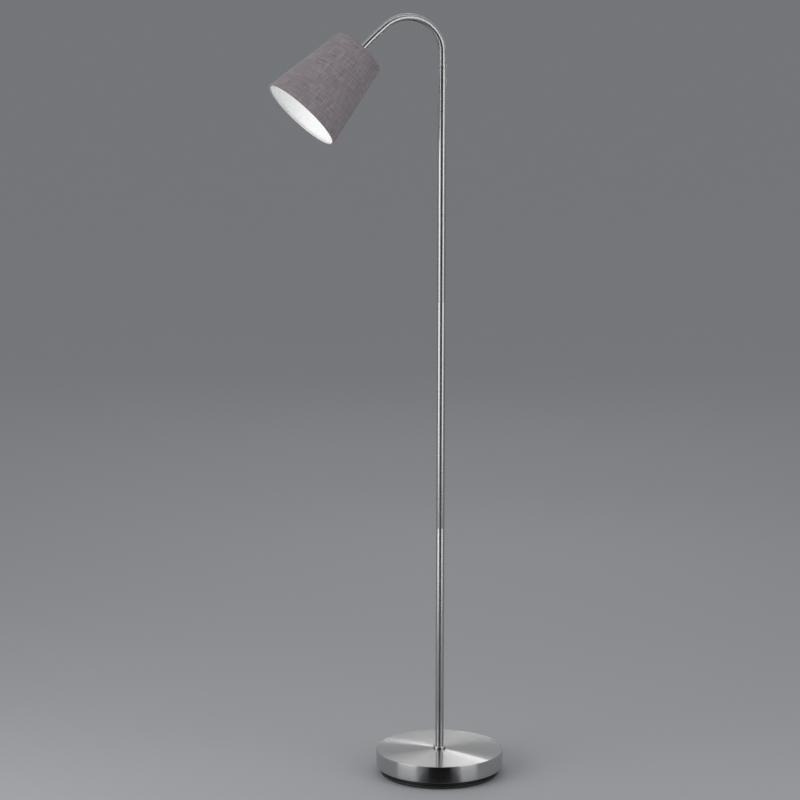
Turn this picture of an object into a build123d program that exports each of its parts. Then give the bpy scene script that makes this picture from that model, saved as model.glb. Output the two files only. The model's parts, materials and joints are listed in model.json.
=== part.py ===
from build123d import *
import math
import os

# Gooseneck reading floor lamp, in millimetres.
# The origin is the centre of the foot's underside, +Z is up, and the neck arches
# in the XZ plane, so that the shade hangs over the -X side of the base.

os.makedirs("parts", exist_ok=True)

# ---------------------------------------------------------------- driving dimensions
# Base
BASE_RADIUS = 115.0          # outside of the spun cover
COVER_HEIGHT = 30.0          # straight side of the cover
COVER_WALL = 1.2
COVER_EDGE_RADIUS = 1.6      # soft edge between the top and the side
COVER_LIP = 4.0              # turned in at the lower edge
FOOT_HEIGHT = 14.0           # the cover's lower edge above the floor
FOOT_INSET = 7.5             # the foot's widest tier, inside the cover's side
FOOT_GROOVE_DEPTH = 4.0      # the shadow grooves between the tiers
LOWER_TIER = 4.5             # height of each tier and groove, from the tray's underside
LOWER_GROOVE = 1.8
UPPER_TIER = 2.4
PAD_THICKNESS = 1.5
PAD_INSET = 6.0
TRAY_FLOOR = 2.5
TRAY_WALL = 3.0
TRAY_SHOULDER = 2.5          # how far the cover's lower edge stands out past the tray's shoulder
TRAY_RIB_COUNT = 8
TRAY_RIB_THICKNESS = 2.0
TRAY_RIB_HEIGHT = 8.0
TRAY_RIB_START = 30.0        # inner end of the ribs, from the centre
WEIGHT_HEIGHT = 16.0
WEIGHT_INSET = 7.0           # weight's radius inside the cover's outside

# Tray screws
SCREW_COUNT = 4
SCREW_CIRCLE_RADIUS = 70.0
SCREW_RADIUS = 2.0
SCREW_LENGTH = 18.0
SCREW_HEAD_RADIUS = 4.0
SCREW_HEAD_HEIGHT = 2.8
SCREW_BOSS_RADIUS = 7.5
SCREW_GRIP = 7.0             # plastic between the screw's head and the weight
SLOT_WIDTH = 1.1
SLOT_DEPTH = 1.2

# Cord inlet, at the side of the foot that faces +Y
INLET_BORE_RADIUS = 3.1
INLET_BARREL_RADIUS = 4.2
INLET_FLANGE_RADIUS = 4.9
INLET_FLANGE = 1.4
INLET_BOSS_WIDTH = 14.0
INLET_BOSS_REACH = 0.8       # flat for the flange, proud of the foot's widest tier

# Threaded tube that ties the base to the pole, and the pole's joiners (M10)
THREAD_RADIUS = 5.0
THREAD_BORE_RADIUS = 3.2
STUD_NUT_FLATS = 17.0
STUD_NUT_HEIGHT = 5.0
STUD_WASHER_RADIUS = 13.0
STUD_WASHER_HEIGHT = 2.0
STUD_TAIL = 2.0              # stud below its nut
STUD_GRIP = 14.0             # stud inside the lowest insert
POCKET_RADIUS = 15.0

# Pole
POLE_RADIUS = 7.25
POLE_WALL = 1.2
SECTION_LENGTH = 410.0       # visible length of each of the three tubes
SECTION_COUNT = 3
TUBE_EDGE = 0.4              # bevel at each tube's end, which shows as the seam
INSERT_LENGTH = 20.0
JOINER_LENGTH = 32.0
COLLAR_RADIUS = 11.5
COLLAR_HEIGHT = 5.0
COLLAR_FLOOR = 2.0
COLLAR_EDGE = 1.2

# Neck
CAP_RADIUS = 7.9             # turned lip on top of the pole
CAP_HEIGHT = 3.0
CAP_EDGE = 0.6
CAP_SPIGOT_LENGTH = 10.0
CAP_RECESS = 2.0             # depth of the sleeve's seat
SLEEVE_RADIUS = 6.2          # formed sleeve that the flexible part grows out of
SLEEVE_FOOT_RADIUS = 6.9     # it tapers from this at the pole to its bend
SLEEVE_WALL = 1.15
SLEEVE_RISE = 29.4           # straight length above the pole
SLEEVE_BEND_RADIUS = 47.6
SLEEVE_TURN = 28.2
SLEEVE_END = 2.0             # straight length after the bend
SLEEVE_LIP = 0.45            # rolled lip, proud of the sleeve
SLEEVE_LIP_LENGTH = 1.6
SLEEVE_PLUG = 4.5            # of the stub that carries the first ball
LINK_COUNT = 14
LINK_PITCH = 11.6
LINK_RADIUS = 6.0
RIB_COUNT = 4                # ribs on each link
RIB_DEPTH = 0.65
RIB_SLOPE = 0.45
NECK_BORE_RADIUS = 1.8
BALL_RADIUS = 4.6
BALL_STEM_RADIUS = 2.8
SOCKET_REACH = 2.5           # the socket's mouth behind the centre of its ball
LINK_GAP = 2.2               # room for a link to tilt against the one before
TIGHT_TURN = 10.0            # degrees at each of the first joints of the arch
TIGHT_JOINTS = 10
HEAD_ANGLE = 135.0           # the shade's axis, turned from straight up

# Head
FERRULE_RADIUS = 6.2
FERRULE_LENGTH = 9.0
FERRULE_THREAD = 8.0
HOLDER_CAP_LENGTH = 12.0
HOLDER_RADIUS = 13.9         # outside thread of the lamp holder
HOLDER_WALL = 1.7
HOLDER_FLANGE_RADIUS = 17.0
HOLDER_FLANGE = 2.4
HOLDER_CAP_NOSE = 8.0
HOLDER_CAP_WALL = 3.0
HOLDER_COLLAR = 5.0          # plain part of the body ahead of its flange
HOLDER_LENGTH = 41.0
HOLDER_THREADS = 6
HOLDER_THREAD_DEPTH = 0.6
INSULATOR_LENGTH = 14.0
SHELL_RADIUS = 7.3           # small screw cap lamp holder shell
SHELL_WALL = 0.35
SHELL_LENGTH = 17.0
CONTACT_RADIUS = 2.6
CONTACT_HEIGHT = 1.2
RING_RADIUS = 19.5           # nut that clamps the shade
RING_HEIGHT = 7.0
RING_KNURLS = 24
RING_KNURL_RADIUS = 0.7
BULB_LENGTH = 78.0
BULB_RADIUS = 22.5
BULB_CAP_RADIUS = 6.7
BULB_CAP_LENGTH = 17.0
BULB_GLASS = 0.9
BULB_CAP_WALL = 0.5
BULB_TIP_RADIUS = 3.4
BULB_TIP_LENGTH = 2.5
BULB_NECK_SEAT = 12.0        # glass inside the cap of the bulb

# Shade
SHADE_TOP_RADIUS = 47.75
SHADE_BOTTOM_RADIUS = 74.2
SHADE_LENGTH = 151.5
SHADE_START = 14.0           # the shade's top edge, from the centre of the last ball
FABRIC_THICKNESS = 0.7
LINING_THICKNESS = 0.5
WIRE_RADIUS = 1.2
SPOKE_RADIUS = 1.1
SPOKE_COUNT = 3
FITTER_THICKNESS = 1.4
FITTER_RADIUS = 20.0

# Clearances
SEAT_GAP = 0.3               # between curved faces that don't carry each other
SLIP = 0.1                   # radial, where one piece slides into another
THREAD_SLIP = 0.05           # radial, where a thread screws in
BALL_SLIP = 0.1              # radial, ball in its socket


# ---------------------------------------------------------------- worked out from these
BASE_TOP = FOOT_HEIGHT + COVER_HEIGHT
COVER_CEILING = BASE_TOP - COVER_WALL
TRAY_RADIUS = BASE_RADIUS - FOOT_INSET
LIP_RADIUS = BASE_RADIUS - COVER_WALL - COVER_LIP
SPIGOT_RADIUS = LIP_RADIUS - SEAT_GAP
WEIGHT_RADIUS = BASE_RADIUS - WEIGHT_INSET
WEIGHT_BOTTOM = COVER_CEILING - WEIGHT_HEIGHT
NUT_BOTTOM = WEIGHT_BOTTOM + STUD_TAIL
POCKET_TOP = NUT_BOTTOM + STUD_NUT_HEIGHT + STUD_WASHER_HEIGHT
TUBE_FOOT = BASE_TOP + COLLAR_FLOOR
TUBE_BORE_RADIUS = POLE_RADIUS - POLE_WALL
INSERT_RADIUS = TUBE_BORE_RADIUS - SLIP
POLE_TOP = BASE_TOP + SECTION_COUNT * SECTION_LENGTH
SLEEVE_FOOT = POLE_TOP + CAP_HEIGHT - CAP_RECESS
SLEEVE_BORE_RADIUS = SLEEVE_RADIUS - SLEEVE_WALL
SOCKET_RADIUS = BALL_RADIUS + BALL_SLIP
JOINT_COUNT = LINK_COUNT + 1
GENTLE_TURN = (HEAD_ANGLE - SLEEVE_TURN - TIGHT_JOINTS * TIGHT_TURN) / (JOINT_COUNT - TIGHT_JOINTS)
SHADE_END = SHADE_START + SHADE_LENGTH


def arch_direction(turn):
    """Unit vector of the neck where it has turned this many degrees from straight up."""
    return Vector(-math.sin(math.radians(turn)), 0, math.cos(math.radians(turn)))


def sleeve_points():
    """The sleeve's axis: foot, start of the bend, middle of the bend, end of the bend, end."""
    centre = Vector(-SLEEVE_BEND_RADIUS, 0, POLE_TOP + SLEEVE_RISE)
    across = [
        centre + SLEEVE_BEND_RADIUS * Vector(math.cos(math.radians(a)), 0, math.sin(math.radians(a)))
        for a in (0, SLEEVE_TURN / 2, SLEEVE_TURN)
    ]
    end = across[-1] + SLEEVE_END * arch_direction(SLEEVE_TURN)
    return [Vector(0, 0, SLEEVE_FOOT), *across, end]


def neck_joints():
    """Centre of each ball of the neck, with the direction of the piece that leaves it."""
    centre = sleeve_points()[-1] + (LINK_GAP + SOCKET_REACH) * arch_direction(SLEEVE_TURN)
    turn = SLEEVE_TURN
    joints = []
    for number in range(JOINT_COUNT):
        turn += TIGHT_TURN if number < TIGHT_JOINTS else GENTLE_TURN
        joints.append((centre, arch_direction(turn)))
        centre = centre + LINK_PITCH * arch_direction(turn)
    return joints


def axial_plane(origin, direction, radial=Vector(0, 1, 0)):
    """Plane of a half section: local x is the radius, local y runs along direction."""
    return Plane(origin=origin, x_dir=radial, z_dir=radial.cross(direction))


def half_section(points, plane=Plane.XZ):
    """Closed half section through (radius, height) points."""
    with BuildSketch(plane) as section:
        with BuildLine():
            Polyline(*points, close=True)
        make_face()
    return section.sketch


def ring_points(inner, outer, low, high):
    """Corners of a plain ring's half section."""
    return [(inner, low), (outer, low), (outer, high), (inner, high)]


def along(radius, other, sign=1):
    """Height at which a circle of one radius reaches the other radius."""
    return sign * math.sqrt(radius**2 - other**2)


def write(piece, label):
    piece.part.label = label
    export_step(piece.part, f"parts/{label}.step")


# ---------------------------------------------------------------- base
with BuildPart() as base_cover:
    revolve(
        half_section(
            [
                (THREAD_RADIUS + SEAT_GAP, COVER_CEILING),
                (BASE_RADIUS - COVER_WALL, COVER_CEILING),
                (BASE_RADIUS - COVER_WALL, FOOT_HEIGHT + COVER_WALL),
                (LIP_RADIUS, FOOT_HEIGHT + COVER_WALL),
                (LIP_RADIUS, FOOT_HEIGHT),
                (BASE_RADIUS, FOOT_HEIGHT),
                (BASE_RADIUS, BASE_TOP),
                (THREAD_RADIUS + SEAT_GAP, BASE_TOP),
            ]
        ),
        axis=Axis.Z,
    )
    rims = base_cover.edges().filter_by(GeomType.CIRCLE).sort_by(SortBy.RADIUS)[-2:]
    fillet(rims.sort_by(Axis.Z)[-1], COVER_EDGE_RADIUS)
    fillet(rims.sort_by(Axis.Z)[0], COVER_WALL / 2)
write(base_cover, "base_cover")

with BuildPart() as base_weight:
    revolve(
        half_section(
            [
                (THREAD_RADIUS + SEAT_GAP, POCKET_TOP),
                (POCKET_RADIUS, POCKET_TOP),
                (POCKET_RADIUS, WEIGHT_BOTTOM),
                (WEIGHT_RADIUS, WEIGHT_BOTTOM),
                (WEIGHT_RADIUS, COVER_CEILING),
                (THREAD_RADIUS + SEAT_GAP, COVER_CEILING),
            ]
        ),
        axis=Axis.Z,
    )
    chamfer(base_weight.edges().filter_by(GeomType.CIRCLE).sort_by(SortBy.RADIUS)[-2:], COVER_WALL)
    with Locations(Plane.XY.offset(WEIGHT_BOTTOM)):
        with PolarLocations(SCREW_CIRCLE_RADIUS, SCREW_COUNT, start_angle=180 / SCREW_COUNT):
            Cylinder(
                SCREW_RADIUS + SLIP,
                SCREW_LENGTH - SCREW_GRIP + SEAT_GAP,
                align=(Align.CENTER, Align.CENTER, Align.MIN),
                mode=Mode.SUBTRACT,
            )
write(base_weight, "base_weight")

tier_tops = [
    PAD_THICKNESS + LOWER_TIER,
    PAD_THICKNESS + LOWER_TIER + LOWER_GROOVE,
    PAD_THICKNESS + LOWER_TIER + LOWER_GROOVE + UPPER_TIER,
]
groove_radius = TRAY_RADIUS - FOOT_GROOVE_DEPTH
tray_bore_radius = groove_radius - TRAY_WALL
inlet_height = PAD_THICKNESS + (FOOT_HEIGHT - PAD_THICKNESS) / 2

boss_top = WEIGHT_BOTTOM
screw_seat = WEIGHT_BOTTOM - SCREW_GRIP

with BuildPart() as foot_tray:
    revolve(
        half_section(
            [
                (0, PAD_THICKNESS),
                (TRAY_RADIUS, PAD_THICKNESS),
                (TRAY_RADIUS, tier_tops[0]),
                (groove_radius, tier_tops[0]),
                (groove_radius, tier_tops[1]),
                (TRAY_RADIUS, tier_tops[1]),
                (TRAY_RADIUS, tier_tops[2]),
                (groove_radius, tier_tops[2]),
                (groove_radius, FOOT_HEIGHT - COVER_WALL),
                (BASE_RADIUS - TRAY_SHOULDER, FOOT_HEIGHT - COVER_WALL),
                (BASE_RADIUS - TRAY_SHOULDER, FOOT_HEIGHT),
                (SPIGOT_RADIUS, FOOT_HEIGHT),
                (SPIGOT_RADIUS, WEIGHT_BOTTOM),
                (SPIGOT_RADIUS - TRAY_WALL - COVER_WALL, WEIGHT_BOTTOM),
                (SPIGOT_RADIUS - TRAY_WALL - COVER_WALL, FOOT_HEIGHT),
                (tray_bore_radius, FOOT_HEIGHT - TRAY_FLOOR),
                (tray_bore_radius, PAD_THICKNESS + TRAY_FLOOR),
                (0, PAD_THICKNESS + TRAY_FLOOR),
            ]
        ),
        axis=Axis.Z,
    )
    with BuildSketch(Plane.XY.offset(PAD_THICKNESS)):
        with PolarLocations(TRAY_RIB_START, TRAY_RIB_COUNT, start_angle=180 / TRAY_RIB_COUNT):
            Rectangle(
                tray_bore_radius - TRAY_RIB_START + TRAY_WALL / 2,
                TRAY_RIB_THICKNESS,
                align=(Align.MIN, Align.CENTER),
            )
    extrude(amount=TRAY_FLOOR + TRAY_RIB_HEIGHT)
    with BuildSketch(Plane.XY.offset(PAD_THICKNESS)):
        with PolarLocations(SCREW_CIRCLE_RADIUS, SCREW_COUNT, start_angle=180 / SCREW_COUNT):
            Circle(SCREW_BOSS_RADIUS)
    extrude(amount=boss_top - PAD_THICKNESS)
    with BuildSketch(Plane.XY.offset(PAD_THICKNESS)):
        with PolarLocations(SCREW_CIRCLE_RADIUS, SCREW_COUNT, start_angle=180 / SCREW_COUNT):
            Circle(SCREW_HEAD_RADIUS + SEAT_GAP)
    extrude(amount=screw_seat - PAD_THICKNESS, mode=Mode.SUBTRACT)
    with BuildSketch(Plane.XY.offset(PAD_THICKNESS)):
        with PolarLocations(SCREW_CIRCLE_RADIUS, SCREW_COUNT, start_angle=180 / SCREW_COUNT):
            Circle(SCREW_RADIUS + SLIP)
    extrude(amount=boss_top - PAD_THICKNESS, mode=Mode.SUBTRACT)
    with Locations((0, tray_bore_radius, PAD_THICKNESS)):
        Box(
            INLET_BOSS_WIDTH,
            TRAY_RADIUS + INLET_BOSS_REACH - tray_bore_radius,
            FOOT_HEIGHT - COVER_WALL - PAD_THICKNESS,
            align=(Align.CENTER, Align.MIN, Align.MIN),
        )
    with Locations(Plane((0, tray_bore_radius - TRAY_WALL, inlet_height), z_dir=(0, 1, 0))):
        Cylinder(
            INLET_BARREL_RADIUS + SLIP,
            TRAY_RADIUS + INLET_BOSS_REACH - tray_bore_radius + TRAY_WALL,
            align=(Align.CENTER, Align.CENTER, Align.MIN),
            mode=Mode.SUBTRACT,
        )
write(foot_tray, "foot_tray")

with BuildPart() as foot_pad:
    Cylinder(TRAY_RADIUS - PAD_INSET, PAD_THICKNESS, align=(Align.CENTER, Align.CENTER, Align.MIN))
write(foot_pad, "foot_pad")

with BuildPart() as tray_screws:
    with Locations(Plane.XY.offset(screw_seat)):
        with PolarLocations(SCREW_CIRCLE_RADIUS, SCREW_COUNT, start_angle=180 / SCREW_COUNT):
            Cylinder(SCREW_RADIUS, SCREW_LENGTH, align=(Align.CENTER, Align.CENTER, Align.MIN))
            Cylinder(
                SCREW_HEAD_RADIUS, SCREW_HEAD_HEIGHT, align=(Align.CENTER, Align.CENTER, Align.MAX)
            )
    with Locations(Plane.XY.offset(screw_seat - SCREW_HEAD_HEIGHT)):
        with PolarLocations(SCREW_CIRCLE_RADIUS, SCREW_COUNT, start_angle=180 / SCREW_COUNT):
            for turned in (0, 90):
                Box(
                    2 * SCREW_RADIUS,
                    SLOT_WIDTH,
                    SLOT_DEPTH,
                    rotation=(0, 0, turned),
                    align=(Align.CENTER, Align.CENTER, Align.MIN),
                    mode=Mode.SUBTRACT,
                )
write(tray_screws, "tray_screws")

inlet_face = Vector(0, TRAY_RADIUS + INLET_BOSS_REACH, inlet_height)
wall_at_inlet = TRAY_RADIUS + INLET_BOSS_REACH - tray_bore_radius

with BuildPart() as cord_grommet:
    revolve(
        half_section(
            [
                (INLET_BORE_RADIUS, -wall_at_inlet - INLET_FLANGE),
                (INLET_BARREL_RADIUS + SLIP, -wall_at_inlet - INLET_FLANGE),
                (INLET_BARREL_RADIUS, -wall_at_inlet),
                (INLET_BARREL_RADIUS, 0),
                (INLET_FLANGE_RADIUS, 0),
                (INLET_FLANGE_RADIUS, INLET_FLANGE),
                (INLET_BORE_RADIUS, INLET_FLANGE),
            ],
            axial_plane(inlet_face, Vector(0, 1, 0), radial=Vector(1, 0, 0)),
        ),
        axis=Axis(inlet_face, (0, 1, 0)),
    )
    chamfer(
        cord_grommet.edges().filter_by(GeomType.CIRCLE).sort_by(Axis.Y)[-2:].sort_by(SortBy.RADIUS)[-1],
        INLET_FLANGE / 3,
    )
write(cord_grommet, "cord_grommet")

# ---------------------------------------------------------------- pole
with BuildPart() as base_stud:
    revolve(
        half_section(
            ring_points(
                THREAD_BORE_RADIUS, THREAD_RADIUS, NUT_BOTTOM - STUD_TAIL, TUBE_FOOT + STUD_GRIP
            )
        ),
        axis=Axis.Z,
    )
write(base_stud, "base_stud")

with BuildPart() as stud_nut:
    with BuildSketch(Plane.XY.offset(NUT_BOTTOM)):
        RegularPolygon(STUD_NUT_FLATS / 2, side_count=6, major_radius=False)
        Circle(THREAD_RADIUS + THREAD_SLIP, mode=Mode.SUBTRACT)
    extrude(amount=STUD_NUT_HEIGHT)
write(stud_nut, "stud_nut")

with BuildPart() as stud_washer:
    revolve(
        half_section(
            ring_points(
                THREAD_RADIUS + SEAT_GAP,
                STUD_WASHER_RADIUS,
                POCKET_TOP - STUD_WASHER_HEIGHT,
                POCKET_TOP,
            )
        ),
        axis=Axis.Z,
    )
write(stud_washer, "stud_washer")

with BuildPart() as pole_collar:
    revolve(
        half_section(
            [
                (THREAD_RADIUS + SEAT_GAP, BASE_TOP),
                (COLLAR_RADIUS, BASE_TOP),
                (COLLAR_RADIUS, BASE_TOP + COLLAR_HEIGHT),
                (POLE_RADIUS + SLIP, BASE_TOP + COLLAR_HEIGHT),
                (POLE_RADIUS + SLIP, TUBE_FOOT),
                (THREAD_RADIUS + SEAT_GAP, TUBE_FOOT),
            ]
        ),
        axis=Axis.Z,
    )
    outer_rims = pole_collar.edges().filter_by(GeomType.CIRCLE).sort_by(SortBy.RADIUS)[-2:]
    fillet(outer_rims.sort_by(Axis.Z)[-1], COLLAR_EDGE)
write(pole_collar, "pole_collar")

section_names = ["lower", "middle", "upper"][:SECTION_COUNT]
for number, section_name in enumerate(section_names):
    section_foot = BASE_TOP + number * SECTION_LENGTH
    foot = TUBE_FOOT if number == 0 else section_foot
    top = section_foot + SECTION_LENGTH

    with BuildPart() as tube:
        revolve(
            half_section(
                [
                    (TUBE_BORE_RADIUS, foot),
                    (POLE_RADIUS - TUBE_EDGE, foot),
                    (POLE_RADIUS, foot + TUBE_EDGE),
                    (POLE_RADIUS, top - TUBE_EDGE),
                    (POLE_RADIUS - TUBE_EDGE, top),
                    (TUBE_BORE_RADIUS, top),
                ]
            ),
            axis=Axis.Z,
        )
    write(tube, f"{section_name}_tube")

    for end_name, low in (("foot", foot), ("top", top - INSERT_LENGTH)):
        with BuildPart() as insert:
            revolve(
                half_section(
                    ring_points(THREAD_RADIUS + THREAD_SLIP, INSERT_RADIUS, low, low + INSERT_LENGTH)
                ),
                axis=Axis.Z,
            )
        write(insert, f"{section_name}_tube_{end_name}_insert")

for number in range(1, SECTION_COUNT):
    seam = BASE_TOP + number * SECTION_LENGTH
    with BuildPart() as joiner:
        revolve(
            half_section(
                ring_points(
                    THREAD_BORE_RADIUS,
                    THREAD_RADIUS,
                    seam - JOINER_LENGTH / 2,
                    seam + JOINER_LENGTH / 2,
                )
            ),
            axis=Axis.Z,
        )
    write(joiner, f"tube_joiner_{number}")

# ---------------------------------------------------------------- neck
with BuildPart() as pole_cap:
    revolve(
        half_section(
            [
                (THREAD_BORE_RADIUS, POLE_TOP - CAP_SPIGOT_LENGTH),
                (THREAD_RADIUS, POLE_TOP - CAP_SPIGOT_LENGTH),
                (THREAD_RADIUS, POLE_TOP),
                (CAP_RADIUS, POLE_TOP),
                (CAP_RADIUS, POLE_TOP + CAP_HEIGHT),
                (SLEEVE_FOOT_RADIUS + SLIP, POLE_TOP + CAP_HEIGHT),
                (SLEEVE_FOOT_RADIUS + SLIP, SLEEVE_FOOT),
                (THREAD_BORE_RADIUS, SLEEVE_FOOT),
            ]
        ),
        axis=Axis.Z,
    )
    lip_edges = pole_cap.edges().filter_by(GeomType.CIRCLE).sort_by(SortBy.RADIUS)[-2:]
    fillet(lip_edges, CAP_EDGE)
write(pole_cap, "pole_cap")

sleeve_axis = sleeve_points()
sleeve_end = sleeve_axis[-1]
sleeve_direction = arch_direction(SLEEVE_TURN)

with BuildPart() as neck_sleeve:
    revolve(
        half_section(
            [
                (SLEEVE_BORE_RADIUS, SLEEVE_FOOT),
                (SLEEVE_FOOT_RADIUS, SLEEVE_FOOT),
                (SLEEVE_RADIUS, POLE_TOP + SLEEVE_RISE),
                (SLEEVE_BORE_RADIUS, POLE_TOP + SLEEVE_RISE),
            ]
        ),
        axis=Axis.Z,
    )
    with BuildLine() as sleeve_path:
        ThreePointArc(*sleeve_axis[1:4])
        Line(sleeve_axis[3], sleeve_axis[4])
    with BuildSketch(Plane(sleeve_axis[1])):
        Circle(SLEEVE_RADIUS)
        Circle(SLEEVE_BORE_RADIUS, mode=Mode.SUBTRACT)
    sweep(path=sleeve_path.wire())
    revolve(
        half_section(
            ring_points(SLEEVE_BORE_RADIUS, SLEEVE_RADIUS + SLEEVE_LIP, -SLEEVE_LIP_LENGTH, 0),
            axial_plane(sleeve_end, sleeve_direction),
        ),
        axis=Axis(sleeve_end, sleeve_direction),
    )
write(neck_sleeve, "neck_sleeve")

joints = neck_joints()
first_ball = joints[0][0]
stem_foot = -SOCKET_REACH - LINK_GAP


def ball_arc(height):
    """Outside of a ball, from its stem round to the bore in its tip."""
    ThreePointArc(
        (BALL_STEM_RADIUS, height + along(BALL_RADIUS, BALL_STEM_RADIUS, -1)),
        (BALL_RADIUS, height),
        (NECK_BORE_RADIUS, height + along(BALL_RADIUS, NECK_BORE_RADIUS)),
    )


def socket_arc():
    """Inside of a socket, from the bore at its bottom to its mouth."""
    ThreePointArc(
        (NECK_BORE_RADIUS, along(SOCKET_RADIUS, NECK_BORE_RADIUS)),
        (SOCKET_RADIUS, 0),
        (along(SOCKET_RADIUS, SOCKET_REACH), -SOCKET_REACH),
    )


def rib_points(low, high):
    """Outside of a link's ribs, from its mouth to its shoulder."""
    pitch = (high - low) / RIB_COUNT
    groove = LINK_RADIUS - RIB_DEPTH
    points = []
    for rib in range(RIB_COUNT):
        start = low + rib * pitch
        points += [
            (groove, start),
            (LINK_RADIUS, start + RIB_SLOPE),
            (LINK_RADIUS, start + pitch - RIB_SLOPE),
        ]
    return points + [(groove, high)]


with BuildPart() as sleeve_ball:
    with BuildSketch(axial_plane(first_ball, sleeve_direction)):
        with BuildLine():
            Polyline(
                (NECK_BORE_RADIUS, along(BALL_RADIUS, NECK_BORE_RADIUS)),
                (NECK_BORE_RADIUS, stem_foot - SLEEVE_PLUG),
                (SLEEVE_BORE_RADIUS - SLIP, stem_foot - SLEEVE_PLUG),
                (SLEEVE_BORE_RADIUS - SLIP, stem_foot),
                (BALL_STEM_RADIUS, stem_foot),
                (BALL_STEM_RADIUS, along(BALL_RADIUS, BALL_STEM_RADIUS, -1)),
            )
            ball_arc(0)
        make_face()
    revolve(axis=Axis(first_ball, sleeve_direction))
write(sleeve_ball, "sleeve_ball")

for number, (centre, direction) in enumerate(joints[:-1], start=1):
    shoulder = LINK_PITCH + stem_foot
    with BuildPart() as link:
        with BuildSketch(axial_plane(centre, direction)):
            with BuildLine():
                socket_arc()
                Polyline(
                    (along(SOCKET_RADIUS, SOCKET_REACH), -SOCKET_REACH),
                    *rib_points(-SOCKET_REACH, shoulder),
                    (BALL_STEM_RADIUS, shoulder),
                    (BALL_STEM_RADIUS, LINK_PITCH + along(BALL_RADIUS, BALL_STEM_RADIUS, -1)),
                )
                ball_arc(LINK_PITCH)
                Line(
                    (NECK_BORE_RADIUS, LINK_PITCH + along(BALL_RADIUS, NECK_BORE_RADIUS)),
                    (NECK_BORE_RADIUS, along(SOCKET_RADIUS, NECK_BORE_RADIUS)),
                )
            make_face()
        revolve(axis=Axis(centre, direction))
    write(link, f"neck_link_{number:02d}")

# ---------------------------------------------------------------- head
head_origin, head_direction = joints[-1]
head_axis = Axis(head_origin, head_direction)
head_section = axial_plane(head_origin, head_direction)


def head_plane(distance):
    """Plane across the head's axis, this far beyond the neck's last ball."""
    return Plane(head_origin + distance * head_direction, x_dir=(0, 1, 0), z_dir=head_direction)


with BuildPart() as neck_ferrule:
    with BuildSketch(head_section):
        with BuildLine():
            socket_arc()
            Polyline(
                (along(SOCKET_RADIUS, SOCKET_REACH), -SOCKET_REACH),
                (FERRULE_RADIUS - RIB_DEPTH, -SOCKET_REACH),
                (FERRULE_RADIUS, -SOCKET_REACH + RIB_SLOPE),
                (FERRULE_RADIUS, FERRULE_LENGTH),
                (THREAD_RADIUS, FERRULE_LENGTH),
                (THREAD_RADIUS, FERRULE_LENGTH + FERRULE_THREAD),
                (NECK_BORE_RADIUS, FERRULE_LENGTH + FERRULE_THREAD),
                (NECK_BORE_RADIUS, along(SOCKET_RADIUS, NECK_BORE_RADIUS)),
            )
        make_face()
    revolve(axis=head_axis)
write(neck_ferrule, "neck_ferrule")

holder_root_radius = HOLDER_RADIUS - HOLDER_THREAD_DEPTH
holder_bore_radius = holder_root_radius - HOLDER_WALL
body_start = FERRULE_LENGTH + HOLDER_CAP_LENGTH
flange_start = body_start + HOLDER_COLLAR
flange_end = flange_start + HOLDER_FLANGE
body_end = body_start + HOLDER_LENGTH
insulator_end = body_start + INSULATOR_LENGTH
contact_end = insulator_end + CONTACT_HEIGHT

with BuildPart() as holder_cap:
    revolve(
        half_section(
            [
                (THREAD_RADIUS + THREAD_SLIP, FERRULE_LENGTH),
                (HOLDER_CAP_NOSE, FERRULE_LENGTH),
                (holder_root_radius, body_start - HOLDER_CAP_WALL),
                (holder_root_radius, body_start),
                (holder_bore_radius - HOLDER_WALL / 2, body_start),
                (holder_bore_radius - HOLDER_WALL / 2, body_start - HOLDER_CAP_WALL),
                (HOLDER_CAP_NOSE - HOLDER_WALL / 2, FERRULE_LENGTH + HOLDER_CAP_WALL),
                (THREAD_RADIUS + THREAD_SLIP, FERRULE_LENGTH + HOLDER_CAP_WALL),
            ],
            head_section,
        ),
        axis=head_axis,
    )
write(holder_cap, "holder_cap")


def thread_points(low, high):
    """Outside of a coarse thread as rings, from a plain root to a plain root."""
    pitch = (high - low) / HOLDER_THREADS
    points = []
    for ring in range(HOLDER_THREADS):
        start = low + ring * pitch
        points += [(holder_root_radius, start), (HOLDER_RADIUS, start + pitch / 2)]
    return points + [(holder_root_radius, high)]


with BuildPart() as holder_body:
    revolve(
        half_section(
            [
                (holder_bore_radius, body_start),
                (holder_root_radius, body_start),
                (holder_root_radius, flange_start),
                (HOLDER_FLANGE_RADIUS, flange_start),
                (HOLDER_FLANGE_RADIUS, flange_end),
                *thread_points(flange_end, body_end),
                (holder_bore_radius, body_end),
            ],
            head_section,
        ),
        axis=head_axis,
    )
write(holder_body, "holder_body")

with BuildPart() as holder_insulator:
    revolve(
        half_section(
            ring_points(CONTACT_RADIUS / 2, holder_bore_radius - SLIP, body_start, insulator_end),
            head_section,
        ),
        axis=head_axis,
    )
write(holder_insulator, "holder_insulator")

with BuildPart() as centre_contact:
    revolve(
        half_section(
            [
                (0, insulator_end - INSULATOR_LENGTH / 2),
                (CONTACT_RADIUS / 2 - SLIP, insulator_end - INSULATOR_LENGTH / 2),
                (CONTACT_RADIUS / 2 - SLIP, insulator_end),
                (CONTACT_RADIUS, insulator_end),
                (CONTACT_RADIUS, contact_end),
                (0, contact_end),
            ],
            head_section,
        ),
        axis=head_axis,
    )
write(centre_contact, "centre_contact")

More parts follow.
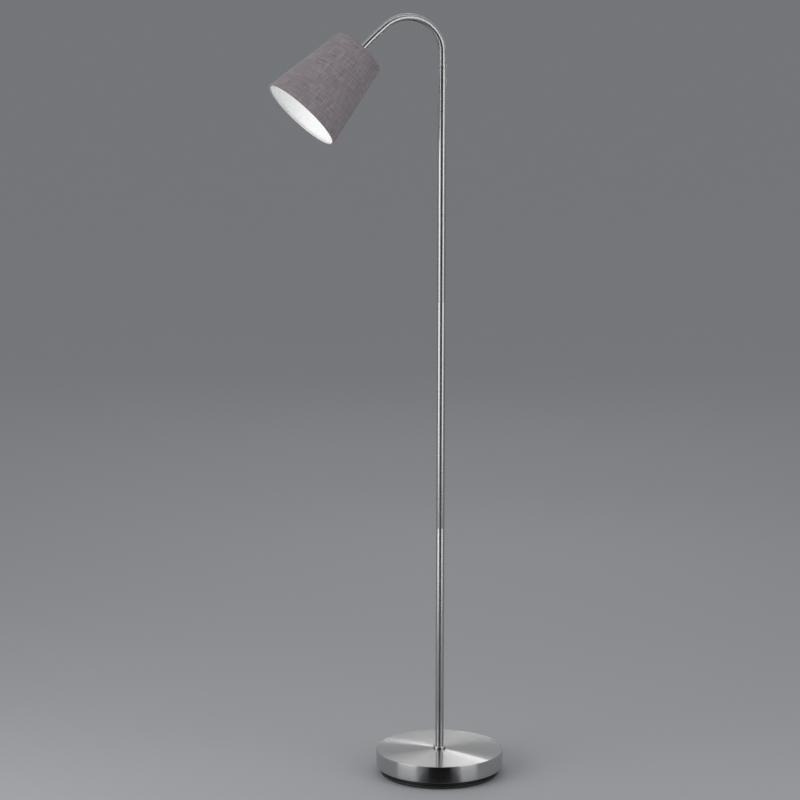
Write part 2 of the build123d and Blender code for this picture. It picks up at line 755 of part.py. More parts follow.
with BuildPart() as screw_shell:
    revolve(
        half_section(
            [
                (SHELL_RADIUS - SHELL_WALL, insulator_end),
                (holder_bore_radius - SEAT_GAP, insulator_end),
                (holder_bore_radius - SEAT_GAP, insulator_end + SHELL_WALL),
                (SHELL_RADIUS, insulator_end + SHELL_WALL),
                (SHELL_RADIUS, insulator_end + SHELL_LENGTH),
                (SHELL_RADIUS - SHELL_WALL, insulator_end + SHELL_LENGTH),
            ],
            head_section,
        ),
        axis=head_axis,
    )
write(screw_shell, "screw_shell")

# ---------------------------------------------------------------- bulb
bulb_centre = contact_end + BULB_LENGTH - BULB_RADIUS
cap_end = contact_end + BULB_CAP_LENGTH


def tangent_point(start, centre_height, radius):
    """Point where the straight flank from start touches the bulb's ball."""
    radial, height = start[0], start[1] - centre_height
    distance = math.hypot(radial, height)
    bearing = math.atan2(radial, height) - math.acos(radius / distance)
    return radius * math.sin(bearing), centre_height + radius * math.cos(bearing)


glass_neck = BULB_CAP_RADIUS - BULB_CAP_WALL - SLIP
outer_foot = (glass_neck, cap_end)
inner_foot = (glass_neck - BULB_GLASS, cap_end)
outer_touch = tangent_point(outer_foot, bulb_centre, BULB_RADIUS)
inner_touch = tangent_point(inner_foot, bulb_centre, BULB_RADIUS - BULB_GLASS)

with BuildPart() as bulb_glass:
    with BuildSketch(head_section):
        with BuildLine():
            Polyline((glass_neck, cap_end - BULB_NECK_SEAT), outer_foot, outer_touch)
            ThreePointArc(outer_touch, (BULB_RADIUS, bulb_centre), (0, bulb_centre + BULB_RADIUS))
            Line((0, bulb_centre + BULB_RADIUS), (0, bulb_centre + BULB_RADIUS - BULB_GLASS))
            ThreePointArc(
                (0, bulb_centre + BULB_RADIUS - BULB_GLASS),
                (BULB_RADIUS - BULB_GLASS, bulb_centre),
                inner_touch,
            )
            Polyline(
                inner_touch,
                inner_foot,
                (glass_neck - BULB_GLASS, cap_end - BULB_NECK_SEAT),
                (glass_neck, cap_end - BULB_NECK_SEAT),
            )
        make_face()
    revolve(axis=head_axis)
write(bulb_glass, "bulb_glass")

with BuildPart() as bulb_cap:
    revolve(
        half_section(
            [
                (0, contact_end),
                (BULB_TIP_RADIUS - BULB_CAP_WALL, contact_end),
                (BULB_TIP_RADIUS, contact_end + BULB_TIP_LENGTH / 2),
                (BULB_CAP_RADIUS, contact_end + BULB_TIP_LENGTH),
                (BULB_CAP_RADIUS, cap_end),
                (BULB_CAP_RADIUS - BULB_CAP_WALL, cap_end),
                (BULB_CAP_RADIUS - BULB_CAP_WALL, cap_end - BULB_NECK_SEAT - SLIP),
                (0, cap_end - BULB_NECK_SEAT - SLIP),
            ],
            head_section,
        ),
        axis=head_axis,
    )
write(bulb_cap, "bulb_cap")

# ---------------------------------------------------------------- shade


def shade_radius(distance):
    """Outside radius of the shade, this far beyond the neck's last ball."""
    share = (distance - SHADE_START) / SHADE_LENGTH
    return SHADE_TOP_RADIUS + share * (SHADE_BOTTOM_RADIUS - SHADE_TOP_RADIUS)


inner_start = SHADE_START + FABRIC_THICKNESS
inner_end = SHADE_END - FABRIC_THICKNESS
turn_in = FABRIC_THICKNESS + LINING_THICKNESS + 2 * WIRE_RADIUS

with BuildPart() as shade_fabric:
    revolve(
        half_section(
            [
                (shade_radius(SHADE_START) - turn_in, SHADE_START),
                (shade_radius(SHADE_START), SHADE_START),
                (shade_radius(SHADE_END), SHADE_END),
                (shade_radius(SHADE_END) - turn_in, SHADE_END),
                (shade_radius(SHADE_END) - turn_in, inner_end),
                (shade_radius(inner_end) - FABRIC_THICKNESS, inner_end),
                (shade_radius(inner_start) - FABRIC_THICKNESS, inner_start),
                (shade_radius(SHADE_START) - turn_in, inner_start),
            ],
            head_section,
        ),
        axis=head_axis,
    )
write(shade_fabric, "shade_fabric")

with BuildPart() as shade_lining:
    revolve(
        half_section(
            [
                (shade_radius(inner_start) - FABRIC_THICKNESS - LINING_THICKNESS, inner_start),
                (shade_radius(inner_start) - FABRIC_THICKNESS, inner_start),
                (shade_radius(inner_end) - FABRIC_THICKNESS, inner_end),
                (shade_radius(inner_end) - FABRIC_THICKNESS - LINING_THICKNESS, inner_end),
            ],
            head_section,
        ),
        axis=head_axis,
    )
write(shade_lining, "shade_lining")

top_wire = inner_start + WIRE_RADIUS
bottom_wire = inner_end - WIRE_RADIUS
lined = FABRIC_THICKNESS + LINING_THICKNESS + THREAD_SLIP
top_wire_radius = shade_radius(inner_start) - lined - WIRE_RADIUS
bottom_wire_radius = shade_radius(inner_end - 2 * WIRE_RADIUS) - lined - WIRE_RADIUS
fitter_middle = flange_end + FITTER_THICKNESS / 2

with BuildPart() as shade_carrier:
    with BuildSketch(head_section):
        with Locations((top_wire_radius, top_wire)):
            Circle(WIRE_RADIUS)
    revolve(axis=head_axis)
    revolve(
        half_section(
            ring_points(
                HOLDER_RADIUS + SEAT_GAP, FITTER_RADIUS, flange_end, flange_end + FITTER_THICKNESS
            ),
            head_section,
        ),
        axis=head_axis,
    )
    for number in range(SPOKE_COUNT):
        bearing = math.radians(360 / SPOKE_COUNT * number)
        outward = head_plane(0).x_dir * math.cos(bearing) + head_plane(0).y_dir * math.sin(bearing)
        rim_end = head_plane(top_wire).origin + outward * top_wire_radius
        hub_end = head_plane(fitter_middle).origin + outward * (FITTER_RADIUS - SPOKE_RADIUS)
        with BuildSketch(Plane(rim_end, z_dir=hub_end - rim_end)):
            Circle(SPOKE_RADIUS)
        extrude(amount=(hub_end - rim_end).length)
write(shade_carrier, "shade_carrier")

with BuildPart() as shade_bottom_ring:
    with BuildSketch(head_section):
        with Locations((bottom_wire_radius, bottom_wire)):
            Circle(WIRE_RADIUS)
    revolve(axis=head_axis)
write(shade_bottom_ring, "shade_bottom_ring")

ring_start = flange_end + FITTER_THICKNESS
with BuildPart() as shade_ring:
    revolve(
        half_section(
            ring_points(
                HOLDER_RADIUS + THREAD_SLIP, RING_RADIUS, ring_start, ring_start + RING_HEIGHT
            ),
            head_section,
        ),
        axis=head_axis,
    )
    with BuildSketch(head_plane(ring_start)):
        with PolarLocations(RING_RADIUS, RING_KNURLS):
            Circle(RING_KNURL_RADIUS)
    extrude(amount=RING_HEIGHT, mode=Mode.SUBTRACT)
write(shade_ring, "shade_ring")

print("link joints:", [tuple(round(v, 2) for v in centre) for centre, _ in joints])
print("head direction:", tuple(round(v, 4) for v in head_direction))
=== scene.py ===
import json
import math
from contextlib import contextmanager
from functools import partial

import bmesh
import bpy
from bpy.props import FloatProperty, FloatVectorProperty, IntProperty, PointerProperty
from mathutils import Matrix, Vector


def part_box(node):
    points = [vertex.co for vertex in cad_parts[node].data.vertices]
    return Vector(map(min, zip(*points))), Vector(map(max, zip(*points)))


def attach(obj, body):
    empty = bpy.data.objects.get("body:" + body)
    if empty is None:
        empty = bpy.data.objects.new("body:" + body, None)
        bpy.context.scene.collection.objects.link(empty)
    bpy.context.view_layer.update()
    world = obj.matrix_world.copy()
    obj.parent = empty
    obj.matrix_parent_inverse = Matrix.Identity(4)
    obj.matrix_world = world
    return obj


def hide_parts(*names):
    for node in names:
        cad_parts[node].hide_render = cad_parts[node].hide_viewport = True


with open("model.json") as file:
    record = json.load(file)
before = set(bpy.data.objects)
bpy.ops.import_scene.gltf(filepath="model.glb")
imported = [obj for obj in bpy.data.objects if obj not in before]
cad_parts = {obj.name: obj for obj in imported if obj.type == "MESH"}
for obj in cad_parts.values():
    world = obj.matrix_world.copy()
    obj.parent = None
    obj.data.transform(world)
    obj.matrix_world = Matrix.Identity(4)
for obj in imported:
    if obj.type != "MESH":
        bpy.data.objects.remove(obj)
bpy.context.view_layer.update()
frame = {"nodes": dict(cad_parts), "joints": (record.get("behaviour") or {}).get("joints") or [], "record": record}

bl_info = {
    "name": "Gooseneck Reading Lamp",
    "version": (1, 0, 0),
    "blender": (4, 5, 0),
    "location": "3D View > Sidebar > Reading Lamp",
    "description": "Dresses the packed frame of a gooseneck floor lamp",
    "category": "Object",
}

MM = 0.001

# The neck's joints, in the order of the chain, and the head's axis beyond the last one.
neck_joints = [Vector(j["pos_m"]) for j in frame["joints"]]
LAST_BALL = neck_joints[-1]
HEAD_TURN = math.radians(135)
HEAD_AXIS = Vector((-math.sin(HEAD_TURN), 0, math.cos(HEAD_TURN)))
LINKS = sorted(n for n in frame["nodes"] if n.startswith("neck_link_"))


# ---------------------------------------------------------------- settings
def length(name, description, default):
    return FloatProperty(name=name, description=description, default=default, min=0, unit="LENGTH", precision=5)


def colour(name, description, default):
    return FloatVectorProperty(
        name=name, description=description, default=default, size=3, min=0, max=1, subtype="COLOR"
    )


class LampSizes(bpy.types.PropertyGroup):
    cover_edge: length("Cover Edge", "Radius of the soft edge round the base cover", 0.9 * MM)
    tube_edge: length("Tube Edge", "Bevel at the ends of the pole's tubes", 0.45 * MM)
    neck_radius: length("Neck Radius", "Outside radius of the wound neck", 6.0 * MM)
    wind_pitch: length("Winding Pitch", "Distance between the turns of the wound neck", 1.3 * MM)
    wind_depth: length("Winding Depth", "Depth of the grooves between the turns", 0.1 * MM)
    thread_pitch: length("Thread Pitch", "Pitch of the small screw thread", 2.82 * MM)
    weave_pitch: length("Weave Pitch", "Distance between the threads of the linen", 0.55 * MM)
    grip_count: IntProperty(name="Grips", description="Number of grips round the shade ring", default=24, min=6)
    spoke_count: IntProperty(name="Spokes", description="Number of spokes in the shade carrier", default=3, min=2)


class LampFinishes(bpy.types.PropertyGroup):
    satin_nickel: colour("Satin Nickel", "Metal of the pole and the base cover", (0.53, 0.528, 0.53))
    bright_nickel: colour("Bright Nickel", "Metal of the neck, collar and cap", (0.54, 0.538, 0.54))
    linen: colour("Linen", "Mean colour of the shade's cloth", (0.318, 0.279, 0.297))
    lining: colour("Lining", "Laminated lining of the shade", (0.88, 0.88, 0.88))
    foot_black: colour("Foot Black", "Moulded foot", (0.018, 0.018, 0.019))
    felt: colour("Felt", "Pad under the foot", (0.03, 0.03, 0.032))
    white_plastic: colour("White Plastic", "Lamp holder and shade ring", (0.80, 0.80, 0.78))
    white_paint: colour("White Paint", "Painted wire of the shade carrier", (0.82, 0.82, 0.81))
    brass: colour("Brass", "Contact and screw shell of the holder", (0.80, 0.62, 0.30))
    opal: colour("Opal", "Glass of the bulb", (0.93, 0.93, 0.91))
    zinc: colour("Zinc", "Plated fixings inside the lamp", (0.60, 0.60, 0.58))
    cast_iron: colour("Cast Iron", "Weight in the base", (0.12, 0.12, 0.12))
    aluminium: colour("Aluminium", "Rolled cap of the bulb", (0.78, 0.78, 0.79))
    rubber: colour("Rubber", "Bush at the lead's inlet", (0.025, 0.025, 0.025))


class LampStudio(bpy.types.PropertyGroup):
    floor: colour("Floor", "Pale floor", (0.45, 0.46, 0.48))
    key_strength: FloatProperty(name="Key", description="Radiance of the two tall soft boxes", default=1.8, min=0)
    fill_strength: FloatProperty(name="Fill", description="Radiance of the low box for the cloth", default=1.6, min=0)
    strip_strength: FloatProperty(name="Strip", description="Radiance of the strip high at the back", default=6, min=0)
    back_strength: FloatProperty(name="Back", description="Radiance of the broad box at the back", default=0.9, min=0)
    over_strength: FloatProperty(name="Over", description="Radiance of the long box over the lamp", default=0.8, min=0)
    sky_strength: FloatProperty(name="Sky", description="Strength of the world's light", default=0.42, min=0)


# ---------------------------------------------------------------- node helpers
def node(tree, kind, inputs=None, **settings):
    """Adds a node, sets its options, and sets or links its inputs."""
    made = tree.nodes.new(kind)
    for key, value in settings.items():
        setattr(made, key, value)
    for key, value in (inputs or {}).items():
        if isinstance(value, bpy.types.NodeSocket):
            tree.links.new(value, made.inputs[key])
        else:
            made.inputs[key].default_value = value
    return made


def math_node(tree, operation, *values):
    return node(tree, "ShaderNodeMath", dict(enumerate(values)), operation=operation).outputs[0]


def vector_node(tree, operation, *values):
    made = node(tree, "ShaderNodeVectorMath", dict(enumerate(values)), operation=operation)
    return made.outputs["Value" if operation in ("LENGTH", "DOT_PRODUCT") else "Vector"]


def ranged(tree, value, low, high, new_low, new_high, smooth=False):
    """Maps a value from one range to another."""
    return node(
        tree, "ShaderNodeMapRange",
        {"Value": value, "From Min": low, "From Max": high, "To Min": new_low, "To Max": new_high},
        interpolation_type="SMOOTHSTEP" if smooth else "LINEAR",
    ).outputs["Result"]


def mixed(tree, factor, first, second, blend="MIX"):
    """Mixes two colours."""
    made = node(tree, "ShaderNodeMix", {0: factor}, data_type="RGBA", blend_type=blend)
    for index, value in ((6, first), (7, second)):
        if isinstance(value, bpy.types.NodeSocket):
            tree.links.new(value, made.inputs[index])
        else:
            made.inputs[index].default_value = (*value, 1)
    return made.outputs[2]


def noise(tree, vector, scale, detail=2.0, roughness=0.5):
    return node(
        tree, "ShaderNodeTexNoise", {"Vector": vector, "Scale": scale, "Detail": detail, "Roughness": roughness}
    ).outputs["Fac"]


def scaled(tree, vector, factor):
    """A vector times one number."""
    return node(tree, "ShaderNodeVectorMath", {0: vector, "Scale": factor}, operation="SCALE").outputs[0]


def new_material(name, **sockets):
    """A node material with constants on the Principled shader's own sockets, named apart from the frame's own."""
    material = bpy.data.materials.new(name + "_finish")
    material.use_nodes = True
    surface = material.node_tree.nodes["Principled BSDF"]
    for key, value in sockets.items():
        surface.inputs[key.replace("_", " ")].default_value = value
    return material, material.node_tree, surface.inputs


def object_coordinates(tree):
    return node(tree, "ShaderNodeTexCoord").outputs["Object"]


def bump(tree, height, distance, strength):
    return node(
        tree, "ShaderNodeBump", {"Height": height, "Distance": distance, "Strength": strength}
    ).outputs["Normal"]


def shades_of(base, *factors):
    return [tuple(min(1, factor * c) for c in base) for factor in factors]


def uneven(tree, grain, roughness, spread, patches):
    """Roughness that follows the grain by a share either way, with patches added."""
    low, high = roughness * (1 - spread), roughness * (1 + spread)
    return math_node(tree, "ADD", ranged(tree, grain, 0.3, 0.7, low, high), patches)


def finish(tree, inputs, shade, roughness, normal):
    """Links a surface's colour, roughness and relief."""
    for key, value in (("Base Color", shade), ("Roughness", roughness), ("Normal", normal)):
        tree.links.new(value, inputs[key])


# ---------------------------------------------------------------- materials
def spun_metal(name, base, roughness, line_pitch, relief, anisotropy):
    """Metal turned on a lathe about the lamp's upright axis: rings of fine scratches."""
    _, tree, inputs = new_material(name, Metallic=1.0, Anisotropic=anisotropy)
    maths = partial(math_node, tree)
    place = object_coordinates(tree)
    flat = vector_node(tree, "MULTIPLY", place, (1, 1, 0))
    radius = vector_node(tree, "LENGTH", flat)
    height = node(tree, "ShaderNodeSeparateXYZ", {0: place}).outputs["Z"]
    rings = node(tree, "ShaderNodeCombineXYZ", {"X": radius, "Y": height}).outputs[0]
    fine = noise(tree, rings, 1 / line_pitch)
    broad = noise(tree, rings, 0.12 / line_pitch)
    tone = maths("ADD", maths("MULTIPLY", fine, 0.6), maths("MULTIPLY", broad, 0.4))
    patches = ranged(tree, noise(tree, place, 18, 3.0), 0.3, 0.7, -0.008, 0.008)
    finish(
        tree, inputs, mixed(tree, ranged(tree, tone, 0.35, 0.65, 0, 1), *shades_of(base, 0.88, 1)),
        uneven(tree, tone, roughness, 0.07, patches), bump(tree, fine, relief, 0.5),
    )
    around = vector_node(tree, "CROSS_PRODUCT", (0, 0, 1), flat)
    normal = node(tree, "ShaderNodeNewGeometry").outputs["Normal"]
    stretch = vector_node(tree, "NORMALIZE", vector_node(tree, "CROSS_PRODUCT", normal, around))
    tree.links.new(stretch, inputs["Tangent"])


def satin_metal(name, base, roughness, grain=(1, 1, 1), grain_pitch=0.4 * MM):
    """Plated metal with a fine satin grain, soft clouds in its gloss and a few finger marks."""
    _, tree, inputs = new_material(name, Metallic=1.0)
    place = object_coordinates(tree)
    fine = noise(tree, vector_node(tree, "MULTIPLY", place, grain), 1 / grain_pitch)
    marks = ranged(tree, noise(tree, place, 22, 3.0), 0.35, 0.65, 0, 0.04)
    finish(
        tree, inputs, mixed(tree, ranged(tree, fine, 0.3, 0.7, 0, 1), *shades_of(base, 0.92, 1)),
        uneven(tree, fine, roughness, 0.12, marks), bump(tree, fine, 0.004 * MM, 0.6),
    )


def linen_cloth(name, base, pitch):
    """Plain weave on the cloth's own flat coordinates, in metres, with thick and thin threads, and painted shade where
    the threads dip.
    """
    _, tree, inputs = new_material(name, Sheen_Weight=0.18, Sheen_Roughness=0.45, Specular_IOR_Level=0.25)
    maths = partial(math_node, tree)
    flat = node(tree, "ShaderNodeUVMap", uv_map="flat_cloth").outputs["UV"]
    parts = node(tree, "ShaderNodeSeparateXYZ", {0: flat})
    wander = ranged(tree, noise(tree, flat, 90), 0, 1, -0.35 * pitch, 0.35 * pitch)

    def threads(along, stretch):
        """Height of one set of threads, and how thick each is along its length."""
        turn = maths("MULTIPLY", maths("ADD", along, wander), math.pi / pitch)
        slub = noise(tree, vector_node(tree, "MULTIPLY", flat, stretch), 1.0, 3.0, 0.62)
        return maths("ABSOLUTE", maths("SINE", turn)), slub

    warp, warp_slub = threads(parts.outputs["X"], (1 / (2.2 * pitch), 1 / (50 * pitch), 1))
    weft, weft_slub = threads(parts.outputs["Y"], (1 / (60 * pitch), 1 / (2.5 * pitch), 1))
    checker = node(
        tree, "ShaderNodeTexChecker",
        {"Vector": flat, "Scale": 1 / pitch, "Color1": (1, 1, 1, 1), "Color2": (0, 0, 0, 1)},
    ).outputs["Fac"]
    weave = node(tree, "ShaderNodeMix", {0: checker, 2: warp, 3: weft}, data_type="FLOAT").outputs[0]
    slub = maths("ADD", warp_slub, weft_slub)
    fuzz = noise(tree, flat, 900)
    cloud = noise(tree, flat, 14, 3.0, 0.6)
    dark, light = shades_of(base, 0.5, 1.6)
    tone = mixed(tree, ranged(tree, slub, 0.78, 1.22, 0, 1), dark, light)
    # The weave's height darkens the colour where the threads dip and lightens their tops: painted shade between the
    # threads
    tone = mixed(tree, 0.35, tone, mixed(tree, weave, *shades_of(base, 0.72, 1.15)))
    tone = mixed(tree, ranged(tree, cloud, 0.3, 0.7, 0, 0.22), tone, dark)
    height = maths("ADD", maths("ADD", weave, maths("MULTIPLY", slub, 1.2)), maths("MULTIPLY", fuzz, 0.35))
    finish(tree, inputs, tone, ranged(tree, fuzz, 0.3, 0.7, 0.82, 0.95), bump(tree, height, 0.16 * MM, 0.85))


def moulded(name, base, roughness, grain_pitch, relief, variation=0.12, **sockets):
    """Moulded, painted or cast surface: fine grain, faint clouds and slightly uneven gloss."""
    _, tree, inputs = new_material(name, **sockets)
    place = object_coordinates(tree)
    grain = noise(tree, place, 1 / grain_pitch, 3.0)
    cloud = noise(tree, place, 25, 3.0)
    shades = shades_of(base, 1 - variation, 1 + variation / 2)
    finish(
        tree, inputs, mixed(tree, ranged(tree, cloud, 0.3, 0.7, 0, 1), *shades),
        uneven(tree, grain, roughness, 0.1, ranged(tree, cloud, 0.3, 0.7, -0.03, 0.03)),
        bump(tree, grain, relief, 0.7),
    )


def make_materials(finishes, weave_pitch):
    # Emission: on the bulb it is the lamp's own light; on the lining it is a painted glow standing in for the bulb's
    # light on it
    def glow(warm, strength):
        return {"Emission_Color": (1.0, 0.99, warm, 1), "Emission_Strength": strength}

    for name, maker, shade, options, *values in (
        ("cover_nickel", spun_metal, "satin_nickel", {}, 0.24, 0.35 * MM, 0.002 * MM, 1.0),
        ("pole_nickel", satin_metal, "satin_nickel", {}, 0.27, (1, 1, 0.02), 0.25 * MM),
        ("bright_nickel", satin_metal, "bright_nickel", {}, 0.10),
        ("neck_nickel", satin_metal, "bright_nickel", {}, 0.13),
        ("cast_iron", moulded, "cast_iron", {"Metallic": 1.0}, 0.6, 0.8 * MM, 0.08 * MM),
        ("foot_black", moulded, "foot_black", {}, 0.42, 0.5 * MM, 0.02 * MM),
        ("felt", moulded, "felt", {"Sheen_Weight": 0.3}, 0.95, 0.35 * MM, 0.15 * MM, 0.4),
        ("zinc_steel", satin_metal, "zinc", {}, 0.32),
        ("grommet_rubber", moulded, "rubber", {}, 0.65, 0.6 * MM, 0.02 * MM),
        ("shade_linen", linen_cloth, "linen", {}, weave_pitch),
        # The lining's emission is painted light: it glows evenly white as if lit by the bulb, though the lining is no
        # lamp
        ("shade_white", moulded, "lining", glow(0.98, 0.12), 0.5, 0.9 * MM, 0.02 * MM, 0.03),
        ("wire_white", moulded, "white_paint", {}, 0.35, 0.7 * MM, 0.015 * MM, 0.05),
        ("holder_white", moulded, "white_plastic", {}, 0.38, 0.5 * MM, 0.012 * MM, 0.05),
        ("brass", satin_metal, "brass", {}, 0.22),
        ("bulb_opal", moulded, "opal", {"Coat_Weight": 0.5, **glow(0.97, 0.5)}, 0.22, 1.5 * MM, 0.002 * MM, 0.03),
        ("bulb_aluminium", satin_metal, "aluminium", {}, 0.28),
    ):
        maker(name, tuple(getattr(finishes, shade)), *values, **options)


def slot_of(node_name):
    """The record's material slot of a CAD node."""
    return next(p["material_slot"] for p in frame["record"]["subparts"] if p["node"] == node_name)


def material_of(slot):
    return bpy.data.materials[slot + "_finish"]


# ---------------------------------------------------------------- mesh helpers
def linked(name, data):
    """A new object in the scene."""
    made = bpy.data.objects.new(name, data)
    bpy.context.scene.collection.objects.link(made)
    return made


@contextmanager
def editing(mesh):
    """Opens a mesh for edits and writes it back."""
    bm = bmesh.new()
    bm.from_mesh(mesh)
    yield bm
    bm.to_mesh(mesh)
    bm.free()


def joined(first, *others):
    """Adds the other meshes to the first."""
    with editing(first) as bm:
        for mesh in others:
            bm.from_mesh(mesh)
    return first


def rounded(corners, steps=5):
    """Outline through (radius, height, rounding) corners, with each rounded corner as an arc."""
    points = []
    count = len(corners)
    for index, (r, h, rounding) in enumerate(corners):
        corner = Vector((r, h))
        if rounding <= 0:
            points.append((r, h))
            continue
        back = Vector(corners[index - 1][:2]) - corner
        ahead = Vector(corners[(index + 1) % count][:2]) - corner
        half = back.angle(ahead) / 2
        reach = rounding / math.tan(half)
        start, end = corner + back.normalized() * reach, corner + ahead.normalized() * reach
        centre = corner + (back.normalized() + ahead.normalized()).normalized() * rounding / math.sin(half)
        first, last = start - centre, end - centre
        turn = first.angle_signed(last)
        for step in range(steps + 1):
            spoke = first.copy()
            spoke.rotate(Matrix.Rotation(-turn * step / steps, 2))
            points.append(tuple(centre + spoke))
    return points


def rounded_mm(corners, steps=5):
    """The same from corners in millimetres."""
    return rounded([tuple(value * MM for value in corner) for corner in corners], steps)


def lathe(outline, sides=96):
    """Closed mesh turned about Z from a closed outline of (radius, height) points."""
    mesh = bpy.data.meshes.new("turned")
    with editing(mesh) as bm:
        rings = []
        for r, h in outline:
            turns = [math.tau * k / sides for k in range(sides if r >= 1e-7 else 1)]
            rings.append([bm.verts.new((r * math.cos(a), r * math.sin(a), h)) for a in turns])
        for first, second in zip(rings, rings[1:] + rings[:1]):
            for k in range(sides):
                corners = [first[k % len(first)], first[(k + 1) % len(first)],
                           second[(k + 1) % len(second)], second[k % len(second)]]
                corners = list(dict.fromkeys(corners))
                if len(corners) > 2:
                    bm.faces.new(corners)
        bmesh.ops.recalc_face_normals(bm, faces=bm.faces)
    return mesh


def head_place(distance=0.0):
    """Puts a mesh made about Z on the head's axis, this far beyond the neck's last ball."""
    turned = HEAD_AXIS.to_track_quat("Z", "Y").to_matrix().to_4x4()
    return Matrix.Translation(LAST_BALL + HEAD_AXIS * distance) @ turned


def piece(name, mesh, material, place=None, sharp=32):
    """An object of its own from a mesh, with its place in the mesh and its edges sharp past an angle."""
    mesh.name = name
    if place:
        mesh.transform(place)
    mesh.materials.clear()
    mesh.materials.append(material)
    mesh.shade_smooth()
    mesh.set_sharp_from_angle(angle=math.radians(sharp))
    return linked(name, mesh)


def stand_for(made, body, *nodes):
    """Rides a piece on its body in place of CAD nodes."""
    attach(made, body)
    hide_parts(*nodes)


def turned_piece(node_name, outline, body="base", sides=96, place=None):
    """A lathe piece that stands for one CAD node."""
    made = piece(node_name + "_turned", lathe(outline, sides), material_of(slot_of(node_name)), place)
    stand_for(made, body, node_name)


def head_piece(name, mesh, node_name, sharp=32, distance=0.0):
    """A piece on the head that stands for one CAD node, in the finish of its slot."""
    made = piece(name, mesh, material_of(slot_of(node_name)), head_place(distance), sharp)
    stand_for(made, "head", node_name)
    return made


def dress(*names):
    """Gives CAD nodes that stay the material of their slot."""
    for name in names:
        for each in frame["nodes"][name].material_slots:
            each.material = material_of(slot_of(name))


def with_caps(mesh):
    """Closes the open ends of a tube and points its faces outwards."""
    with editing(mesh) as bm:
        bmesh.ops.remove_doubles(bm, verts=bm.verts, dist=1e-7)
        bmesh.ops.holes_fill(bm, edges=[e for e in bm.edges if e.is_boundary])
        bmesh.ops.recalc_face_normals(bm, faces=bm.faces)
    return mesh


# ---------------------------------------------------------------- geometry node trees
def new_tree(name, sockets):
    """Geometry node tree with named inputs, and its group input's outputs by name."""
    tree = bpy.data.node_groups.new(name, "GeometryNodeTree")
    tree.interface.new_socket("Geometry", in_out="INPUT", socket_type="NodeSocketGeometry")
    for label, kind in sockets:
        tree.interface.new_socket(label, in_out="INPUT", socket_type="NodeSocket" + kind)
    tree.interface.new_socket("Geometry", in_out="OUTPUT", socket_type="NodeSocketGeometry")
    return tree, tree.nodes.new("NodeGroupInput").outputs


def close_tree(tree, geometry, material):
    """Ends a tree in Realize Instances and Set Material."""
    real = node(tree, "GeometryNodeRealizeInstances", {"Geometry": geometry}).outputs[0]
    painted = node(tree, "GeometryNodeSetMaterial", {"Geometry": real, "Material": material}).outputs[0]
    tree.links.new(painted, tree.nodes.new("NodeGroupOutput").inputs["Geometry"])
    return tree


def grown(tree, name, values, start=None):
    """Plain mesh of a tree's result for these input values."""
    carrier = linked(name, start or bpy.data.meshes.new(name))
    modifier = carrier.modifiers.new(name, "NODES")
    modifier.node_group = tree
    sockets = {s.name: s.identifier for s in tree.interface.items_tree if s.in_out == "INPUT"}
    for label, value in values.items():
        modifier[sockets[label]] = value
    bpy.context.view_layer.update()
    graph = bpy.context.evaluated_depsgraph_get()
    mesh = bpy.data.meshes.new_from_object(carrier.evaluated_get(graph), depsgraph=graph)
    carrier.modifiers.clear()
    bpy.data.objects.remove(carrier)
    return mesh


def grid_coordinates(tree, inputs):
    """Flat grid of Rings by Sides, with its share along from 0 to 1 and its turn round from 0 to 2 pi."""
    maths = partial(math_node, tree)
    grid = node(
        tree, "GeometryNodeMeshGrid",
        {"Size X": 1.0, "Size Y": 1.0, "Vertices X": inputs["Rings"], "Vertices Y": maths("ADD", inputs["Sides"], 1.0)},
    ).outputs["Mesh"]
    parts = node(tree, "ShaderNodeSeparateXYZ", {0: node(tree, "GeometryNodeInputPosition").outputs[0]})
    along = maths("ADD", parts.outputs["X"], 0.5)
    return grid, along, maths("MULTIPLY", maths("ADD", parts.outputs["Y"], 0.5), math.tau)


def close_grid(tree, grid, point, material):
    """Moves the grid's points to their places, seals its seam and ends the tree."""
    wrapped = node(tree, "GeometryNodeSetPosition", {"Geometry": grid, "Position": point}).outputs[0]
    closed = node(tree, "GeometryNodeMergeByDistance", {"Geometry": wrapped, "Distance": 1e-6}).outputs[0]
    return close_tree(tree, closed, material)


def close_copies(tree, inputs, points, copy, turn=(0, 0, 0)):
    """Places a copy at each point, joins the mesh that came in and ends the tree."""
    placed = node(
        tree, "GeometryNodeInstanceOnPoints", {"Points": points, "Instance": copy, "Rotation": turn}
    ).outputs[0]
    everything = tree.nodes.new("GeometryNodeJoinGeometry")
    tree.links.new(inputs["Geometry"], everything.inputs[0])
    tree.links.new(placed, everything.inputs[0])
    return close_tree(tree, everything.outputs[0], inputs["Material"])


def winding_turns(maths, at, pitch, turn):
    return maths("SUBTRACT", maths("DIVIDE", at, pitch), maths("DIVIDE", turn, math.tau))


